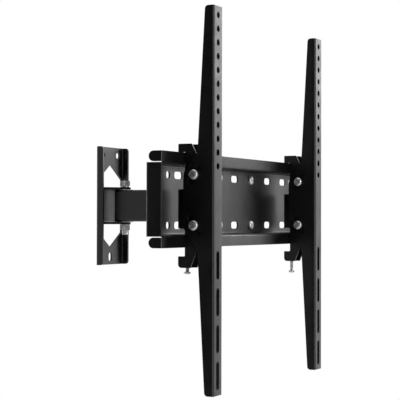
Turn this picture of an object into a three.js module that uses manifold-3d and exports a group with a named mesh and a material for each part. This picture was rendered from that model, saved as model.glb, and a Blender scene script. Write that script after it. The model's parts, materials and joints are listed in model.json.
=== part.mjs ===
// Full motion television wall mount: a wall plate, one swinging arm, a swivelling
// crossbar and two tilting vertical brackets that hook onto it.
//
// Millimetres. X runs along the wall, +Z is up and +Y points into the wall, whose
// surface is y = 0. "Reach" is the distance out from the wall, so y = -reach.
// The origin is the centre of the wall plate's back face.

import * as THREE from "three";
import { mergeVertices } from "three/addons/utils/BufferGeometryUtils.js";
import Module from "manifold-3d";

// ---- Clearances ----------------------------------------------------------------
const SEAT_GAP = 0.1; // between two faces that rest on each other
const SLIDE_GAP = 0.4; // between the rail's lips and the hooks that slide on them
const HOLE_PLAY = 0.3; // radial play of a bolt in a punched hole
const CUT_OVERRUN = 1; // how far a cutter runs past the face that it cuts
const JOIN_OVERLAP = 0.5; // how far two joined shapes of one piece run into each other
const HAIR = 0.01; // keeps two arcs or faces of one piece from just meeting

// ---- Wall plate ----------------------------------------------------------------
const PLATE_WIDTH = 66;
const PLATE_HEIGHT = 148;
const PLATE_SHEET = 2.5;
const PLATE_FLANGE = 10.5; // reach of the two side flanges
const PLATE_BEND = 1.5; // inside bend radius
const PLATE_CORNER = 4; // rounding of the flanges' front corners
const TAB_INSET = 4.5; // a pivot tab's edge from the plate's side
const TAB_SHOULDER = 13; // reach where a tab starts to narrow
const TAB_NOSE = 8.5; // from the pivot axis to a tab's tip
const TAB_TIP_ROUND = 5;
const LAG_SLOT_WIDTH = 9.6; // upper screw slots
const LAG_SLOT_HEIGHT = 8;
const LAG_SLOT_OFFSET = 18.5; // each side of the middle
const LAG_SLOT_BELOW_TOP = 9.8;
const LOW_SLOT_WIDTH = 8.6; // lower screw slot
const LOW_SLOT_HEIGHT = 12;
const LOW_SLOT_ABOVE_BOTTOM = 9.7;

// ---- Arm -----------------------------------------------------------------------
const WALL_PIVOT = 23.5; // reach of the wall pivot axis
const ARM_LENGTH = 124.5; // between the two pivot axes
const ARM_WIDTH = 25;
const ARM_HEIGHT = 39.4;
const ARM_WALL = 2.5;
const ARM_EDGE = 3; // outside rounding of the tube's long edges
const ARM_TAIL_LAND = 0.5; // tube left behind the wall bush's hole
const EAR_SPARE = 4; // between the turning head tabs and the tube's side walls
const CAP_THICKNESS = 2.4;
const CAP_CROWN = 1.9; // rounding of the cap's rear edges
const CAP_TONGUE = 8; // how far the cap's tongues reach into the tube
const CAP_TONGUE_SHEET = 1.8;
const CAP_TONGUE_SHORT = 4; // tongues' ends below the tube's inside

// ---- Pivot hardware ------------------------------------------------------------
const PIVOT_RADIUS = 4;
const BUSH_WALL = 1.5;
const BUSH_FLANGE = 0.7; // thickness of the flange between arm and tab
const BUSH_FLANGE_RADIUS = 10;
const PIVOT_HEX = 12; // across flats, bolt head and nut
const PIVOT_HEAD = 6.9;
const PIVOT_NUT = 6.2;
const PIVOT_TAIL = 5.3; // thread left past the nut
const PIVOT_WASHER_RADIUS = 6.6;
const PIVOT_WASHER = 1.3;

// ---- Head bracket --------------------------------------------------------------
const HEAD_STANDOFF = 22.2; // from the head pivot axis to the plate's rear face
const HEAD_BOLT_SIDE = 17; // plate beyond the bolts, sideways
const HEAD_BOLT_END = 8.25; // plate beyond the bolts, upwards and downwards
const HEAD_SHEET = 3;
const HEAD_BEND = 1;
const HEAD_NOTCH_SIDE = 3; // notches beyond the tabs, each side
const HEAD_NOTCH_ROUND = 2;
const HEAD_CORNER = 5;
const HEAD_TAB_WIDTH = 36; // width of a head tab at its bend
const HEAD_TAB_RADIUS = 11; // rounded end around the head pivot axis
const HEAD_TAB_STRAIGHT = 2; // a tab's parallel stretch behind the plate

// ---- Crossbar ------------------------------------------------------------------
const RAIL_LENGTH = 448;
const RAIL_SHEET = 2;
const RAIL_BEND = 1.5;
const RAIL_DEPTH = 20; // from the web's rear face to the lips' front faces
const RAIL_BOX_HEIGHT = 79.3; // over the two ledges
const RAIL_LIP = 12.3; // height of a lip beyond its ledge
const RAIL_RISE = 4; // crossbar's middle above the arm's middle
const RAIL_CORNER = 3.5; // outside rounding of the vertical bends at both ends
const RAIL_EAR_DEPTH = 16; // lip ends bent back towards the wall
const RAIL_EAR_ROUND = 5.6;
const RAIL_EAR_SLIT = 0.9; // between an ear and the box below or above it
const SLOT_PITCH = 50;
const SLOT_PLACES = [-3, -2, 0, 2, 3]; // in pitches from the crossbar's middle
const SLOT_INSET = 11.9; // each slot row from the ledge beside it
const SLOT_WIDTH = 20;
const SLOT_HEIGHT = 8.2;
const SLOT_ROUND = 3.4;
const END_SLOT_OFFSET = 175;
const END_SLOT_WIDTH = 9;
const LEDGE_SLOT_PLACES = [-3.5, -2.5, -1.5, -0.5, 0.5, 1.5, 2.5, 3.5];
const LEDGE_SLOT_WIDTH = 20;
const LEDGE_SLOT_DEPTH = 8;
const RAIL_BOLT_OFFSET = 45.6; // each side of the middle, in both slot rows

// ---- Hook adaptors -------------------------------------------------------------
const ADAPTOR_SHEET = 2;
const ADAPTOR_PLAY = 0.4; // each side, between a side plate and the bracket around it
const ADAPTOR_TOP = 9.7; // hook height above the upper lip
const ADAPTOR_BOTTOM = 22.3; // foot depth below the lower lip
const ADAPTOR_FOOT = 12.7; // height of the foot
const ADAPTOR_HOOK = 7.8; // hook and foot reach behind the lips' front faces
const ADAPTOR_HOOK_DROP = 9.4; // how far the hook comes down behind the lip
const ADAPTOR_BACK_TOP = 11.9; // back web's upper edge, from the crossbar's middle
const ADAPTOR_WEB_CLEAR = 6.4; // back web's lower edge above the lower ledge
const ADAPTOR_FLOOR = 11; // front to rear length of the foot's floor
const ADAPTOR_NOSE = 8.9; // side plates in front of the tilt bolts' axes
const ADAPTOR_NOSE_DOWN = 15; // front edge's two ends, inside the lips' edges
const ADAPTOR_BROW = 6.5; // upper shoulder behind the front edge
const ADAPTOR_BROW_DOWN = 3; // upper shoulder below the upper lip's edge
const ADAPTOR_HOOK_FRONT = 8.5; // hook's top edge in front of the lips
const ADAPTOR_FOOT_FRONT = 7; // foot's lower edge in front of the lips
const ADAPTOR_SHIN = 8.5; // lower shoulder behind the front edge
const ADAPTOR_SHIN_RISE = 15; // lower shoulder above the floor
const ADAPTOR_HEEL_ROUND = 4;
const ADAPTOR_FRONT_ROUND = 3;
const ADAPTOR_TOP_ROUND = 2;
const ADAPTOR_EDGE_ROUND = 1;

// ---- TV brackets ---------------------------------------------------------------
const BRACKET_STANDOFF = 36; // TV face in front of the lips' front faces
const BRACKET_HEIGHT = 424;
const BRACKET_WIDTH = 23.6;
const BRACKET_SHEET = 2;
const BRACKET_BEND = 0.6;
const BRACKET_RISE = -0.5; // bracket's middle above the crossbar's middle
const BRACKET_END_DEPTH = 10.5; // side walls at the two ends
const BRACKET_MID_DEPTH = 19.3; // side walls where the bolt lug starts
const BRACKET_LUG_DEPTH = 36.5;
const BRACKET_LUG_ROOT = 51; // half height where the lug starts
const BRACKET_LUG_HALF = 31; // half height of the lug's back, before its corners are rounded
const BRACKET_LUG_CORNER = 14;
const BRACKET_ROOT_ROUND = 5;
const BRACKET_END_ROUND = 4;
const HOLE_COUNT = 12;
const HOLE_PITCH = 15;
const HOLE_RADIUS = 3.6;
const HOLE_FROM_TOP = 10;
const LONG_SLOT_COUNT = 4;
const LONG_SLOT_PITCH = 40;
const LONG_SLOT_LENGTH = 31;
const LONG_SLOT_FROM_BOTTOM = 21.5;
const LEFT_BRACKET_X = -161.4;
const RIGHT_BRACKET_X = 140.1;

// ---- Tilt and clamp hardware ---------------------------------------------------
const TILT_MAX_DEG = 10;
const TILT_SLOT_SPARE_DEG = 0.3; // slot travel left at each tilt limit
const TILT_AXIS_AHEAD = 21.5; // tilt axis in front of the TV face
const TILT_BOLT_DEPTH = 23.4; // tilt bolts behind the TV face
const TILT_BOLT_HALF = 27.7; // each tilt bolt from the crossbar's middle
const SMALL_RADIUS = 3; // tilt bolts and crossbar bolts
const SMALL_HEAD_RADIUS = 5.5;
const SMALL_HEAD = 3.6;
const SMALL_HEX = 10;
const SMALL_NUT = 5;
const SMALL_TAIL = 2;
const SMALL_WASHER_RADIUS = 6.2;
const SMALL_WASHER = 1;
const SPACER_RADIUS = 5;
const HEX_RIM_DROP = 0.6; // a hexagon's turned rim, against its corner's overhang
const PAN_SIDE = 0.4; // a pan head's straight side, against its height
const PAN_SHOULDER = [0.78, 0.88]; // its shoulder, against its radius and height
const PAN_CROWN = 0.42; // its flat crown, against its radius
const RECESS_ARM = 0.5; // cross recess, each arm against the head's radius
const RECESS_HALF = 0.13; // half of an arm's width, against the head's radius
const RECESS_FLOOR = 0.45; // the recess's floor, against the head's height
const LOCK_RADIUS = 2.2;
const LOCK_HEAD_RADIUS = 4;
const LOCK_HEAD = 2.6;
const LOCK_LENGTH = 26.5; // under the head
const LOCK_TOUCH = 0.3; // screw tip to lip when the screw is done up
const RIGHT_LOCK_BACKED_OFF = 8; // the right-hand screw is this far undone

// ---- Places worked out from the sizes above ------------------------------------
const HEAD_PIVOT = WALL_PIVOT + ARM_LENGTH;
const HEAD_REAR = HEAD_PIVOT + HEAD_STANDOFF;
const HEAD_FRONT = HEAD_REAR + HEAD_SHEET;
const RAIL_REAR = HEAD_FRONT + SEAT_GAP;
const RAIL_WEB = RAIL_REAR + RAIL_SHEET; // front face of the crossbar's web
const RAIL_FRONT = RAIL_REAR + RAIL_DEPTH;
const TV_FACE = RAIL_FRONT + BRACKET_STANDOFF;
const LEDGE_OUT = RAIL_BOX_HEIGHT / 2;
const LEDGE_IN = LEDGE_OUT - RAIL_SHEET;
const LIP_TOP = LEDGE_OUT + RAIL_LIP;
const SLOT_ROW = LEDGE_OUT - SLOT_INSET; // each slot row from the crossbar's middle
const HEAD_HEIGHT = 2 * (SLOT_ROW + HEAD_BOLT_END);
const HEAD_WIDTH = 2 * (RAIL_BOLT_OFFSET + HEAD_BOLT_SIDE);
const ARM_TOP = ARM_HEIGHT / 2;
const EAR_UNDER = ARM_TOP - ARM_WALL; // inner face of the clevis ears
const BUSH_OUTER = PIVOT_RADIUS + HOLE_PLAY / 2 + BUSH_WALL;
const ARM_TAIL = BUSH_OUTER + SEAT_GAP + ARM_TAIL_LAND; // wall pivot axis to tube's end
const EAR_RADIUS = ARM_WIDTH / 2; // rounded nose of the two clevis ears
const EAR_CLEAR = HEAD_TAB_RADIUS + EAR_SPARE; // from the head pivot axis to the walls
const BUSH_STACK = BUSH_FLANGE + 2 * SEAT_GAP;
const TAB_UNDER = ARM_TOP + BUSH_STACK; // wall tabs' inner faces
const TAB_OVER = TAB_UNDER + PLATE_SHEET;
const HEAD_TAB_OVER = EAR_UNDER - BUSH_STACK; // head tabs' outer faces
const HEAD_TAB_UNDER = HEAD_TAB_OVER - HEAD_SHEET;
const TAB_WIDTH = PLATE_WIDTH - 2 * TAB_INSET; // width of a pivot tab at its bend
const TAB_TIP = WALL_PIVOT + TAB_NOSE;
const TILT_AXIS = TV_FACE + TILT_AXIS_AHEAD;
const TILT_RUN = TILT_AXIS_AHEAD + TILT_BOLT_DEPTH;
const TILT_RADIUS = Math.hypot(TILT_RUN, TILT_BOLT_HALF);
const TILT_ANGLE = Math.atan2(TILT_BOLT_HALF, TILT_RUN);
const TILT_BOLT_REACH = TV_FACE - TILT_BOLT_DEPTH;
const BRACKET_SIDE = BRACKET_WIDTH / 2;
const BRACKET_INSIDE = BRACKET_SIDE - BRACKET_SHEET;
const ADAPTOR_OUTER = BRACKET_INSIDE - ADAPTOR_PLAY;
const ADAPTOR_INNER = ADAPTOR_OUTER - ADAPTOR_SHEET;
const ADAPTOR_FRONT = TILT_BOLT_REACH + ADAPTOR_NOSE;
const ADAPTOR_BACK_BOTTOM = ADAPTOR_WEB_CLEAR - LEDGE_IN; // back web's lower edge
const FLOOR_UNDER = -LIP_TOP - ADAPTOR_BOTTOM; // floor's lower face, from the middle
const LOCK_REACH = RAIL_FRONT - RAIL_SHEET / 2;

// ---- Smoothness ----------------------------------------------------------------
const ARC_STEPS = 3; // straight pieces in one rounded corner
const CIRCLE_STEPS = 16; // straight pieces in one hole or shank
const TILT_SLOT_STEPS = 4;

// ---- Finishes ------------------------------------------------------------------
const FINISHES = {
  coat: { color: 0x141416, roughness: 0.42, metalness: 0.25 },
  zinc: { color: 0xc9ccd0, roughness: 0.28, metalness: 1 },
  nylon: { color: 0xe6e4dc, roughness: 0.55, metalness: 0 },
  cap: { color: 0x101011, roughness: 0.6, metalness: 0 },
};

const wasm = await Module();
wasm.setup();

// ---- Solids from outlines ------------------------------------------------------
const X = new THREE.Vector3(1, 0, 0);
const Y = new THREE.Vector3(0, 1, 0);
const Z = new THREE.Vector3(0, 0, 1);
const turn = (right, up, out) => new THREE.Matrix4().makeBasis(right, up, out);

// Each view maps an outline's two axes, and the way it is thickened, to the mount.
const FRONT_VIEW = turn(X, Z, Y.clone().negate()); // [x, z], thickened outwards
const SIDE_VIEW = turn(Y.clone().negate(), Z, X.clone().negate()); // [reach, z]
const PLAN_VIEW = turn(X, Y.clone().negate(), Z.clone().negate()); // [x, reach]
const FACING_LEFT = turn(Y, Z.clone().negate(), X.clone().negate());

function solidFrom(geometry) {
  const bare = geometry.clone();
  bare.deleteAttribute("normal");
  bare.deleteAttribute("uv");
  const merged = mergeVertices(bare, 1e-4);
  return new wasm.Manifold(
    new wasm.Mesh({
      numProp: 3,
      vertProperties: new Float32Array(merged.attributes.position.array),
      triVerts: new Uint32Array(merged.index.array),
    }),
  );
}

function geometryFrom(solid) {
  const mesh = solid.getMesh();
  const geometry = new THREE.BufferGeometry();
  const position = new THREE.BufferAttribute(mesh.vertProperties, 3);
  geometry.setAttribute("position", position);
  geometry.setIndex(new THREE.BufferAttribute(mesh.triVerts, 1));
  geometry.computeVertexNormals();
  return geometry;
}

// Corners are [u, v] or [u, v, radius]; a radius rounds its corner with an arc.
function roundedPoints(corners) {
  const points = [];
  corners.forEach(([u, v, radius = 0], i) => {
    const here = new THREE.Vector2(u, v);
    if (radius === 0) {
      points.push(here);
      return;
    }
    const [beforeU, beforeV] = corners.at(i - 1);
    const [afterU, afterV] = corners[(i + 1) % corners.length];
    const back = new THREE.Vector2(beforeU - u, beforeV - v).normalize();
    const ahead = new THREE.Vector2(afterU - u, afterV - v).normalize();
    const half = Math.acos(back.dot(ahead)) / 2;
    const inward = back.clone().add(ahead).normalize();
    const centre = here.clone().addScaledVector(inward, radius / Math.sin(half));
    const start = here.clone().addScaledVector(back, radius / Math.tan(half));
    const sweep = Math.sign(ahead.cross(back)) * (Math.PI - 2 * half);
    for (let step = 0; step <= ARC_STEPS; step += 1) {
      points.push(start.clone().rotateAround(centre, (sweep * step) / ARC_STEPS));
    }
  });
  return points;
}

function thickened(corners, depth, view, place) {
  const shape = new THREE.Shape(roundedPoints(corners));
  const geometry = new THREE.ExtrudeGeometry(shape, { depth, bevelEnabled: false });
  geometry.applyMatrix4(view);
  geometry.translate(place.x, place.y, place.z);
  return solidFrom(geometry);
}

// An outline of [x, z] corners between two reaches.
function frontPrism(corners, reachFrom, reachTo) {
  const place = new THREE.Vector3(0, -reachFrom, 0);
  return thickened(corners, reachTo - reachFrom, FRONT_VIEW, place);
}

// An outline of [reach, z] corners between two places along the wall.
function sidePrism(corners, xFrom, xTo) {
  const place = new THREE.Vector3(xTo, 0, 0);
  return thickened(corners, xTo - xFrom, SIDE_VIEW, place);
}

// An outline of [x, reach] corners between two heights.
function planPrism(corners, zFrom, zTo) {
  const place = new THREE.Vector3(0, 0, zTo);
  return thickened(corners, zTo - zFrom, PLAN_VIEW, place);
}

const box = (uFrom, uTo, vFrom, vTo, radius = 0) => [
  [uFrom, vFrom, radius],
  [uTo, vFrom, radius],
  [uTo, vTo, radius],
  [uFrom, vTo, radius],
];

const slot = (u, v, width, height, radius = Math.min(width, height) / 2 - HAIR) =>
  box(u - width / 2, u + width / 2, v - height / 2, v + height / 2, radius);

function circle(u, v, radius) {
  return Array.from({ length: CIRCLE_STEPS }, (_, step) => {
    const angle = (2 * Math.PI * step) / CIRCLE_STEPS;
    return [u + radius * Math.cos(angle), v + radius * Math.sin(angle)];
  });
}

// Two of its flats face along the first axis.
function hexagon(acrossFlats) {
  const radius = acrossFlats / Math.sqrt(3);
  return Array.from({ length: 6 }, (_, side) => {
    const angle = (Math.PI * (side + 0.5)) / 3;
    return [radius * Math.cos(angle), radius * Math.sin(angle)];
  });
}

const cut = (solid, cutters) => cutters.reduce((left, tool) => left.subtract(tool), solid);
const join = (solids) => solids.reduce((whole, piece) => whole.add(piece));
const mirroredZ = (corners) => corners.map(([u, v, radius = 0]) => [u, -v, radius]).reverse();
const lifted = (solid, rise) => solid.translate([0, 0, rise]);

// ---- Fasteners, made standing on z = 0 -----------------------------------------
function lathed(profile) {
  const points = profile.map(([radius, height]) => new THREE.Vector2(radius, height));
  const geometry = new THREE.LatheGeometry(points, CIRCLE_STEPS);
  return solidFrom(geometry.rotateX(Math.PI / 2));
}

const shank = (radius, from, to) => planPrism(circle(0, 0, radius), from, to);

function ring(inner, outer, height) {
  const hole = shank(inner, -CUT_OVERRUN, height + CUT_OVERRUN);
  return shank(outer, 0, height).subtract(hole);
}

// A hexagon with both rims turned down to its flats, as bolt heads and nuts have.
function hexBlock(acrossFlats, height) {
  const corner = acrossFlats / Math.sqrt(3);
  const flat = acrossFlats / 2;
  const drop = (corner - flat) * HEX_RIM_DROP;
  const cone = lathed([
    [0, 0],
    [flat, 0],
    [corner, drop],
    [corner, height - drop],
    [flat, height],
    [0, height],
  ]);
  return planPrism(hexagon(acrossFlats), 0, height).intersect(cone);
}

// The underside of the head is z = 0 and the shank hangs below it.
function hexBolt(radius, length, acrossFlats, headHeight) {
  return join([hexBlock(acrossFlats, headHeight), shank(radius, -length, 0)]);
}

function hexNut(radius, acrossFlats, height) {
  const bore = shank(radius + SEAT_GAP, -CUT_OVERRUN, height + CUT_OVERRUN);
  return hexBlock(acrossFlats, height).subtract(bore);
}

// A pan head with a cross recess, on a plain shank.
function panScrew(radius, length, headRadius, headHeight) {
  const [shoulderOut, shoulderUp] = PAN_SHOULDER;
  const body = lathed([
    [0, -length],
    [radius, -length],
    [radius, 0],
    [headRadius, 0],
    [headRadius, headHeight * PAN_SIDE],
    [headRadius * shoulderOut, headHeight * shoulderUp],
    [headRadius * PAN_CROWN, headHeight],
    [0, headHeight],
  ]);
  const arm = headRadius * RECESS_ARM;
  const half = headRadius * RECESS_HALF;
  const floor = headHeight * RECESS_FLOOR;
  const top = headHeight + CUT_OVERRUN;
  const recess = [
    planPrism(box(-arm, arm, -half, half), floor, top),
    planPrism(box(-half, half, -arm, arm), floor, top),
  ];
  return cut(body, recess);
}

function placed(solid, view, x, reach, z) {
  const matrix = view.clone().setPosition(x, -reach, z);
  return solid.transform(matrix.elements);
}

const UPRIGHT = new THREE.Matrix4();

// ---- Wall plate ----------------------------------------------------------------
function wallPlate() {
  const side = PLATE_WIDTH / 2;
  const top = PLATE_HEIGHT / 2;
  const inside = side - PLATE_SHEET;
  const bendOut = PLATE_BEND + PLATE_SHEET;
  const channel = planPrism(
    [
      [-side, PLATE_FLANGE],
      [-side, 0, bendOut],
      [side, 0, bendOut],
      [side, PLATE_FLANGE],
      [inside, PLATE_FLANGE],
      [inside, PLATE_SHEET, PLATE_BEND],
      [-inside, PLATE_SHEET, PLATE_BEND],
      [-inside, PLATE_FLANGE],
    ],
    -top,
    top,
  );
  const profile = sidePrism(
    [
      [-CUT_OVERRUN, -top],
      [PLATE_FLANGE, -top, PLATE_CORNER],
      [PLATE_FLANGE, top, PLATE_CORNER],
      [-CUT_OVERRUN, top],
    ],
    -side - CUT_OVERRUN,
    side + CUT_OVERRUN,
  );
  const lagHeight = top - LAG_SLOT_BELOW_TOP;
  const lowHeight = -top + LOW_SLOT_ABOVE_BOTTOM;
  const through = (corners) => frontPrism(corners, -CUT_OVERRUN, PLATE_SHEET + CUT_OVERRUN);
  const cuts = [
    through(tabCutOut()),
    through(mirroredZ(tabCutOut())),
    through(slot(-LAG_SLOT_OFFSET, lagHeight, LAG_SLOT_WIDTH, LAG_SLOT_HEIGHT)),
    through(slot(LAG_SLOT_OFFSET, lagHeight, LAG_SLOT_WIDTH, LAG_SLOT_HEIGHT)),
    through(slot(0, lowHeight, LOW_SLOT_WIDTH, LOW_SLOT_HEIGHT)),
  ];
  return join([cut(channel.intersect(profile), cuts), wallTabs()]);
}

// The window that a pivot tab leaves in the web when it is bent out.
function tabCutOut() {
  const half = TAB_WIDTH / 2;
  const base = TAB_OVER - PLATE_BEND - PLATE_SHEET;
  const shoulder = TAB_OVER + TAB_SHOULDER - PLATE_SHEET;
  const tip = TAB_OVER + TAB_TIP - PLATE_SHEET;
  return [
    [-half, base],
    [half, base],
    [half, shoulder],
    [0, tip, TAB_TIP_ROUND],
    [-half, shoulder],
  ];
}

// Both pivot tabs and the strip of web between them, with the bends at their roots.
function wallTabs() {
  const half = TAB_WIDTH / 2;
  const bendOut = PLATE_BEND + PLATE_SHEET;
  const fold = sidePrism(
    [
      [TAB_TIP + CUT_OVERRUN, TAB_OVER],
      [0, TAB_OVER, bendOut],
      [0, -TAB_OVER, bendOut],
      [TAB_TIP + CUT_OVERRUN, -TAB_OVER],
      [TAB_TIP + CUT_OVERRUN, -TAB_UNDER],
      [PLATE_SHEET, -TAB_UNDER, PLATE_BEND],
      [PLATE_SHEET, TAB_UNDER, PLATE_BEND],
      [TAB_TIP + CUT_OVERRUN, TAB_UNDER],
    ],
    -half,
    half,
  );
  const outline = planPrism(
    [
      [-half, -CUT_OVERRUN],
      [half, -CUT_OVERRUN],
      [half, TAB_SHOULDER],
      [0, TAB_TIP, TAB_TIP_ROUND],
      [-half, TAB_SHOULDER],
    ],
    -TAB_OVER - CUT_OVERRUN,
    TAB_OVER + CUT_OVERRUN,
  );
  const pivot = planPrism(
    circle(0, WALL_PIVOT, PIVOT_RADIUS + HOLE_PLAY),
    -TAB_OVER - CUT_OVERRUN,
    TAB_OVER + CUT_OVERRUN,
  );
  return fold.intersect(outline).subtract(pivot);
}

// ---- Arm -----------------------------------------------------------------------
function swingArm() {
  const side = ARM_WIDTH / 2;
  const tail = WALL_PIVOT - ARM_TAIL;
  const nose = HEAD_PIVOT + EAR_RADIUS;
  const sideInside = side - ARM_WALL;
  const outer = frontPrism(box(-side, side, -ARM_TOP, ARM_TOP, ARM_EDGE), tail, nose);
  const edgeInside = ARM_EDGE - ARM_WALL;
  const hollow = frontPrism(
    box(-sideInside, sideInside, -EAR_UNDER, EAR_UNDER, edgeInside),
    tail - CUT_OVERRUN,
    nose + CUT_OVERRUN,
  );
  const mouth = planPrism(
    box(-side - CUT_OVERRUN, side + CUT_OVERRUN, HEAD_PIVOT - EAR_CLEAR, nose + CUT_OVERRUN),
    -EAR_UNDER,
    EAR_UNDER,
  );
  const plan = planPrism(
    [
      [-side, tail],
      [side, tail],
      [side, nose, EAR_RADIUS - HAIR],
      [-side, nose, EAR_RADIUS - HAIR],
    ],
    -ARM_HEIGHT,
    ARM_HEIGHT,
  );
  const bushHole = (reach) =>
    planPrism(circle(0, reach, BUSH_OUTER + SEAT_GAP), -ARM_HEIGHT, ARM_HEIGHT);
  const tube = outer.intersect(plan);
  return cut(tube, [hollow, mouth, bushHole(WALL_PIVOT), bushHole(HEAD_PIVOT)]);
}

// A moulded cap that closes the tube's wall end.
function armEndCap() {
  const side = ARM_WIDTH / 2;
  const tail = WALL_PIVOT - ARM_TAIL - SEAT_GAP;
  const rear = tail - CAP_THICKNESS;
  const face = frontPrism(box(-side, side, -ARM_TOP, ARM_TOP, ARM_EDGE), rear, tail);
  const crown = planPrism(
    [
      [-side, rear, CAP_CROWN],
      [side, rear, CAP_CROWN],
      [side, tail],
      [-side, tail],
    ],
    -ARM_HEIGHT,
    ARM_HEIGHT,
  );
  const tongueOut = side - ARM_WALL - SEAT_GAP;
  const tongueIn = tongueOut - CAP_TONGUE_SHEET;
  const tongueHeight = EAR_UNDER - CAP_TONGUE_SHORT;
  const root = tail - JOIN_OVERLAP;
  const tongue = (xFrom, xTo) =>
    frontPrism(box(xFrom, xTo, -tongueHeight, tongueHeight), root, tail + CAP_TONGUE);
  const tongues = [tongue(tongueIn, tongueOut), tongue(-tongueOut, -tongueIn)];
  return join([face.intersect(crown), ...tongues]);
}

// ---- Pivot hardware ------------------------------------------------------------
// A flanged nylon bush: the barrel fills an arm wall and the flange takes the wear.
function bush(reach, flangeFrom, barrelUp) {
  const bore = PIVOT_RADIUS + HOLE_PLAY / 2;
  const flange = ring(bore, BUSH_FLANGE_RADIUS, BUSH_FLANGE);
  const barrel = ring(bore, BUSH_OUTER, ARM_WALL);
  const barrelFrom = barrelUp ? BUSH_FLANGE - HAIR : HAIR - ARM_WALL;
  const whole = join([flange, lifted(barrel, barrelFrom)]);
  return placed(whole, UPRIGHT, 0, reach, flangeFrom);
}

// Bolt, nut and two washers that clamp a stack between -half and +half.
function pivotSet(name, reach, half) {
  const washer = ring(PIVOT_RADIUS + HOLE_PLAY, PIVOT_WASHER_RADIUS, PIVOT_WASHER);
  const washerTop = half + SEAT_GAP;
  const headSeat = washerTop + PIVOT_WASHER + SEAT_GAP;
  const nutTop = -headSeat;
  const length = headSeat - nutTop + PIVOT_NUT + PIVOT_TAIL;
  const bolt = hexBolt(PIVOT_RADIUS, length, PIVOT_HEX, PIVOT_HEAD);
  const nut = hexNut(PIVOT_RADIUS, PIVOT_HEX, PIVOT_NUT);
  return [
    piece(`${name}_bolt`, placed(bolt, UPRIGHT, 0, reach, headSeat), "zinc"),
    piece(`${name}_nut`, placed(nut, UPRIGHT, 0, reach, nutTop - PIVOT_NUT), "zinc"),
    piece(`${name}_washer_top`, placed(washer, UPRIGHT, 0, reach, washerTop), "zinc"),
    piece(
      `${name}_washer_bottom`,
      placed(washer, UPRIGHT, 0, reach, -washerTop - PIVOT_WASHER),
      "zinc",
    ),
  ];
}

// ---- Head bracket --------------------------------------------------------------
// An H-shaped plate with two tabs bent back from the middle, inside the arm's ears.
function headBracket() {
  const side = HEAD_WIDTH / 2;
  const notch = HEAD_TAB_WIDTH / 2 + HEAD_NOTCH_SIDE;
  const top = RAIL_RISE + HEAD_HEIGHT / 2;
  const bottom = RAIL_RISE - HEAD_HEIGHT / 2;
  const waist = HEAD_TAB_UNDER - HEAD_BEND;
  const plate = frontPrism(
    [
      [-side, bottom, HEAD_CORNER],
      [-notch, bottom, HEAD_CORNER],
      [-notch, -waist, HEAD_NOTCH_ROUND],
      [notch, -waist, HEAD_NOTCH_ROUND],
      [notch, bottom, HEAD_CORNER],
      [side, bottom, HEAD_CORNER],
      [side, top, HEAD_CORNER],
      [notch, top, HEAD_CORNER],
      [notch, waist, HEAD_NOTCH_ROUND],
      [-notch, waist, HEAD_NOTCH_ROUND],
      [-notch, top, HEAD_CORNER],
      [-side, top, HEAD_CORNER],
    ],
    HEAD_REAR,
    HEAD_FRONT,
  );
  const end = HEAD_PIVOT - HEAD_TAB_RADIUS;
  const bendOut = HEAD_BEND + HEAD_SHEET;
  const fold = sidePrism(
    [
      [end - CUT_OVERRUN, HEAD_TAB_OVER],
      [HEAD_FRONT, HEAD_TAB_OVER, bendOut],
      [HEAD_FRONT, -HEAD_TAB_OVER, bendOut],
      [end - CUT_OVERRUN, -HEAD_TAB_OVER],
      [end - CUT_OVERRUN, -HEAD_TAB_UNDER],
      [HEAD_REAR, -HEAD_TAB_UNDER, HEAD_BEND],
      [HEAD_REAR, HEAD_TAB_UNDER, HEAD_BEND],
      [end - CUT_OVERRUN, HEAD_TAB_UNDER],
    ],
    -HEAD_TAB_WIDTH / 2,
    HEAD_TAB_WIDTH / 2,
  );
  const half = HEAD_TAB_WIDTH / 2;
  const taper = HEAD_REAR - HEAD_TAB_STRAIGHT;
  const outline = planPrism(
    [
      [-half, HEAD_FRONT + CUT_OVERRUN],
      [-half, taper],
      [-HEAD_TAB_RADIUS, HEAD_PIVOT],
      [-HEAD_TAB_RADIUS, end, HEAD_TAB_RADIUS - HAIR],
      [HEAD_TAB_RADIUS, end, HEAD_TAB_RADIUS - HAIR],
      [HEAD_TAB_RADIUS, HEAD_PIVOT],
      [half, taper],
      [half, HEAD_FRONT + CUT_OVERRUN],
    ],
    -HEAD_TAB_OVER - CUT_OVERRUN,
    HEAD_TAB_OVER + CUT_OVERRUN,
  );
  const pivot = planPrism(
    circle(0, HEAD_PIVOT, PIVOT_RADIUS + HOLE_PLAY),
    -ARM_HEIGHT,
    ARM_HEIGHT,
  );
  const holes = railBoltPlaces().map(({ x, z }) =>
    frontPrism(
      circle(x, z, SMALL_RADIUS + HOLE_PLAY),
      HEAD_REAR - CUT_OVERRUN,
      HEAD_FRONT + CUT_OVERRUN,
    ),
  );
  return cut(join([plate, fold.intersect(outline)]), [pivot, ...holes]);
}

function railBoltPlaces() {
  const places = [];
  for (const [side, x] of Object.entries({ left: -RAIL_BOLT_OFFSET, right: RAIL_BOLT_OFFSET })) {
    for (const [level, row] of Object.entries({ upper: SLOT_ROW, lower: -SLOT_ROW })) {
      places.push({ name: `${side}_${level}`, x, z: RAIL_RISE + row });
    }
  }
  return places;
}

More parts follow.
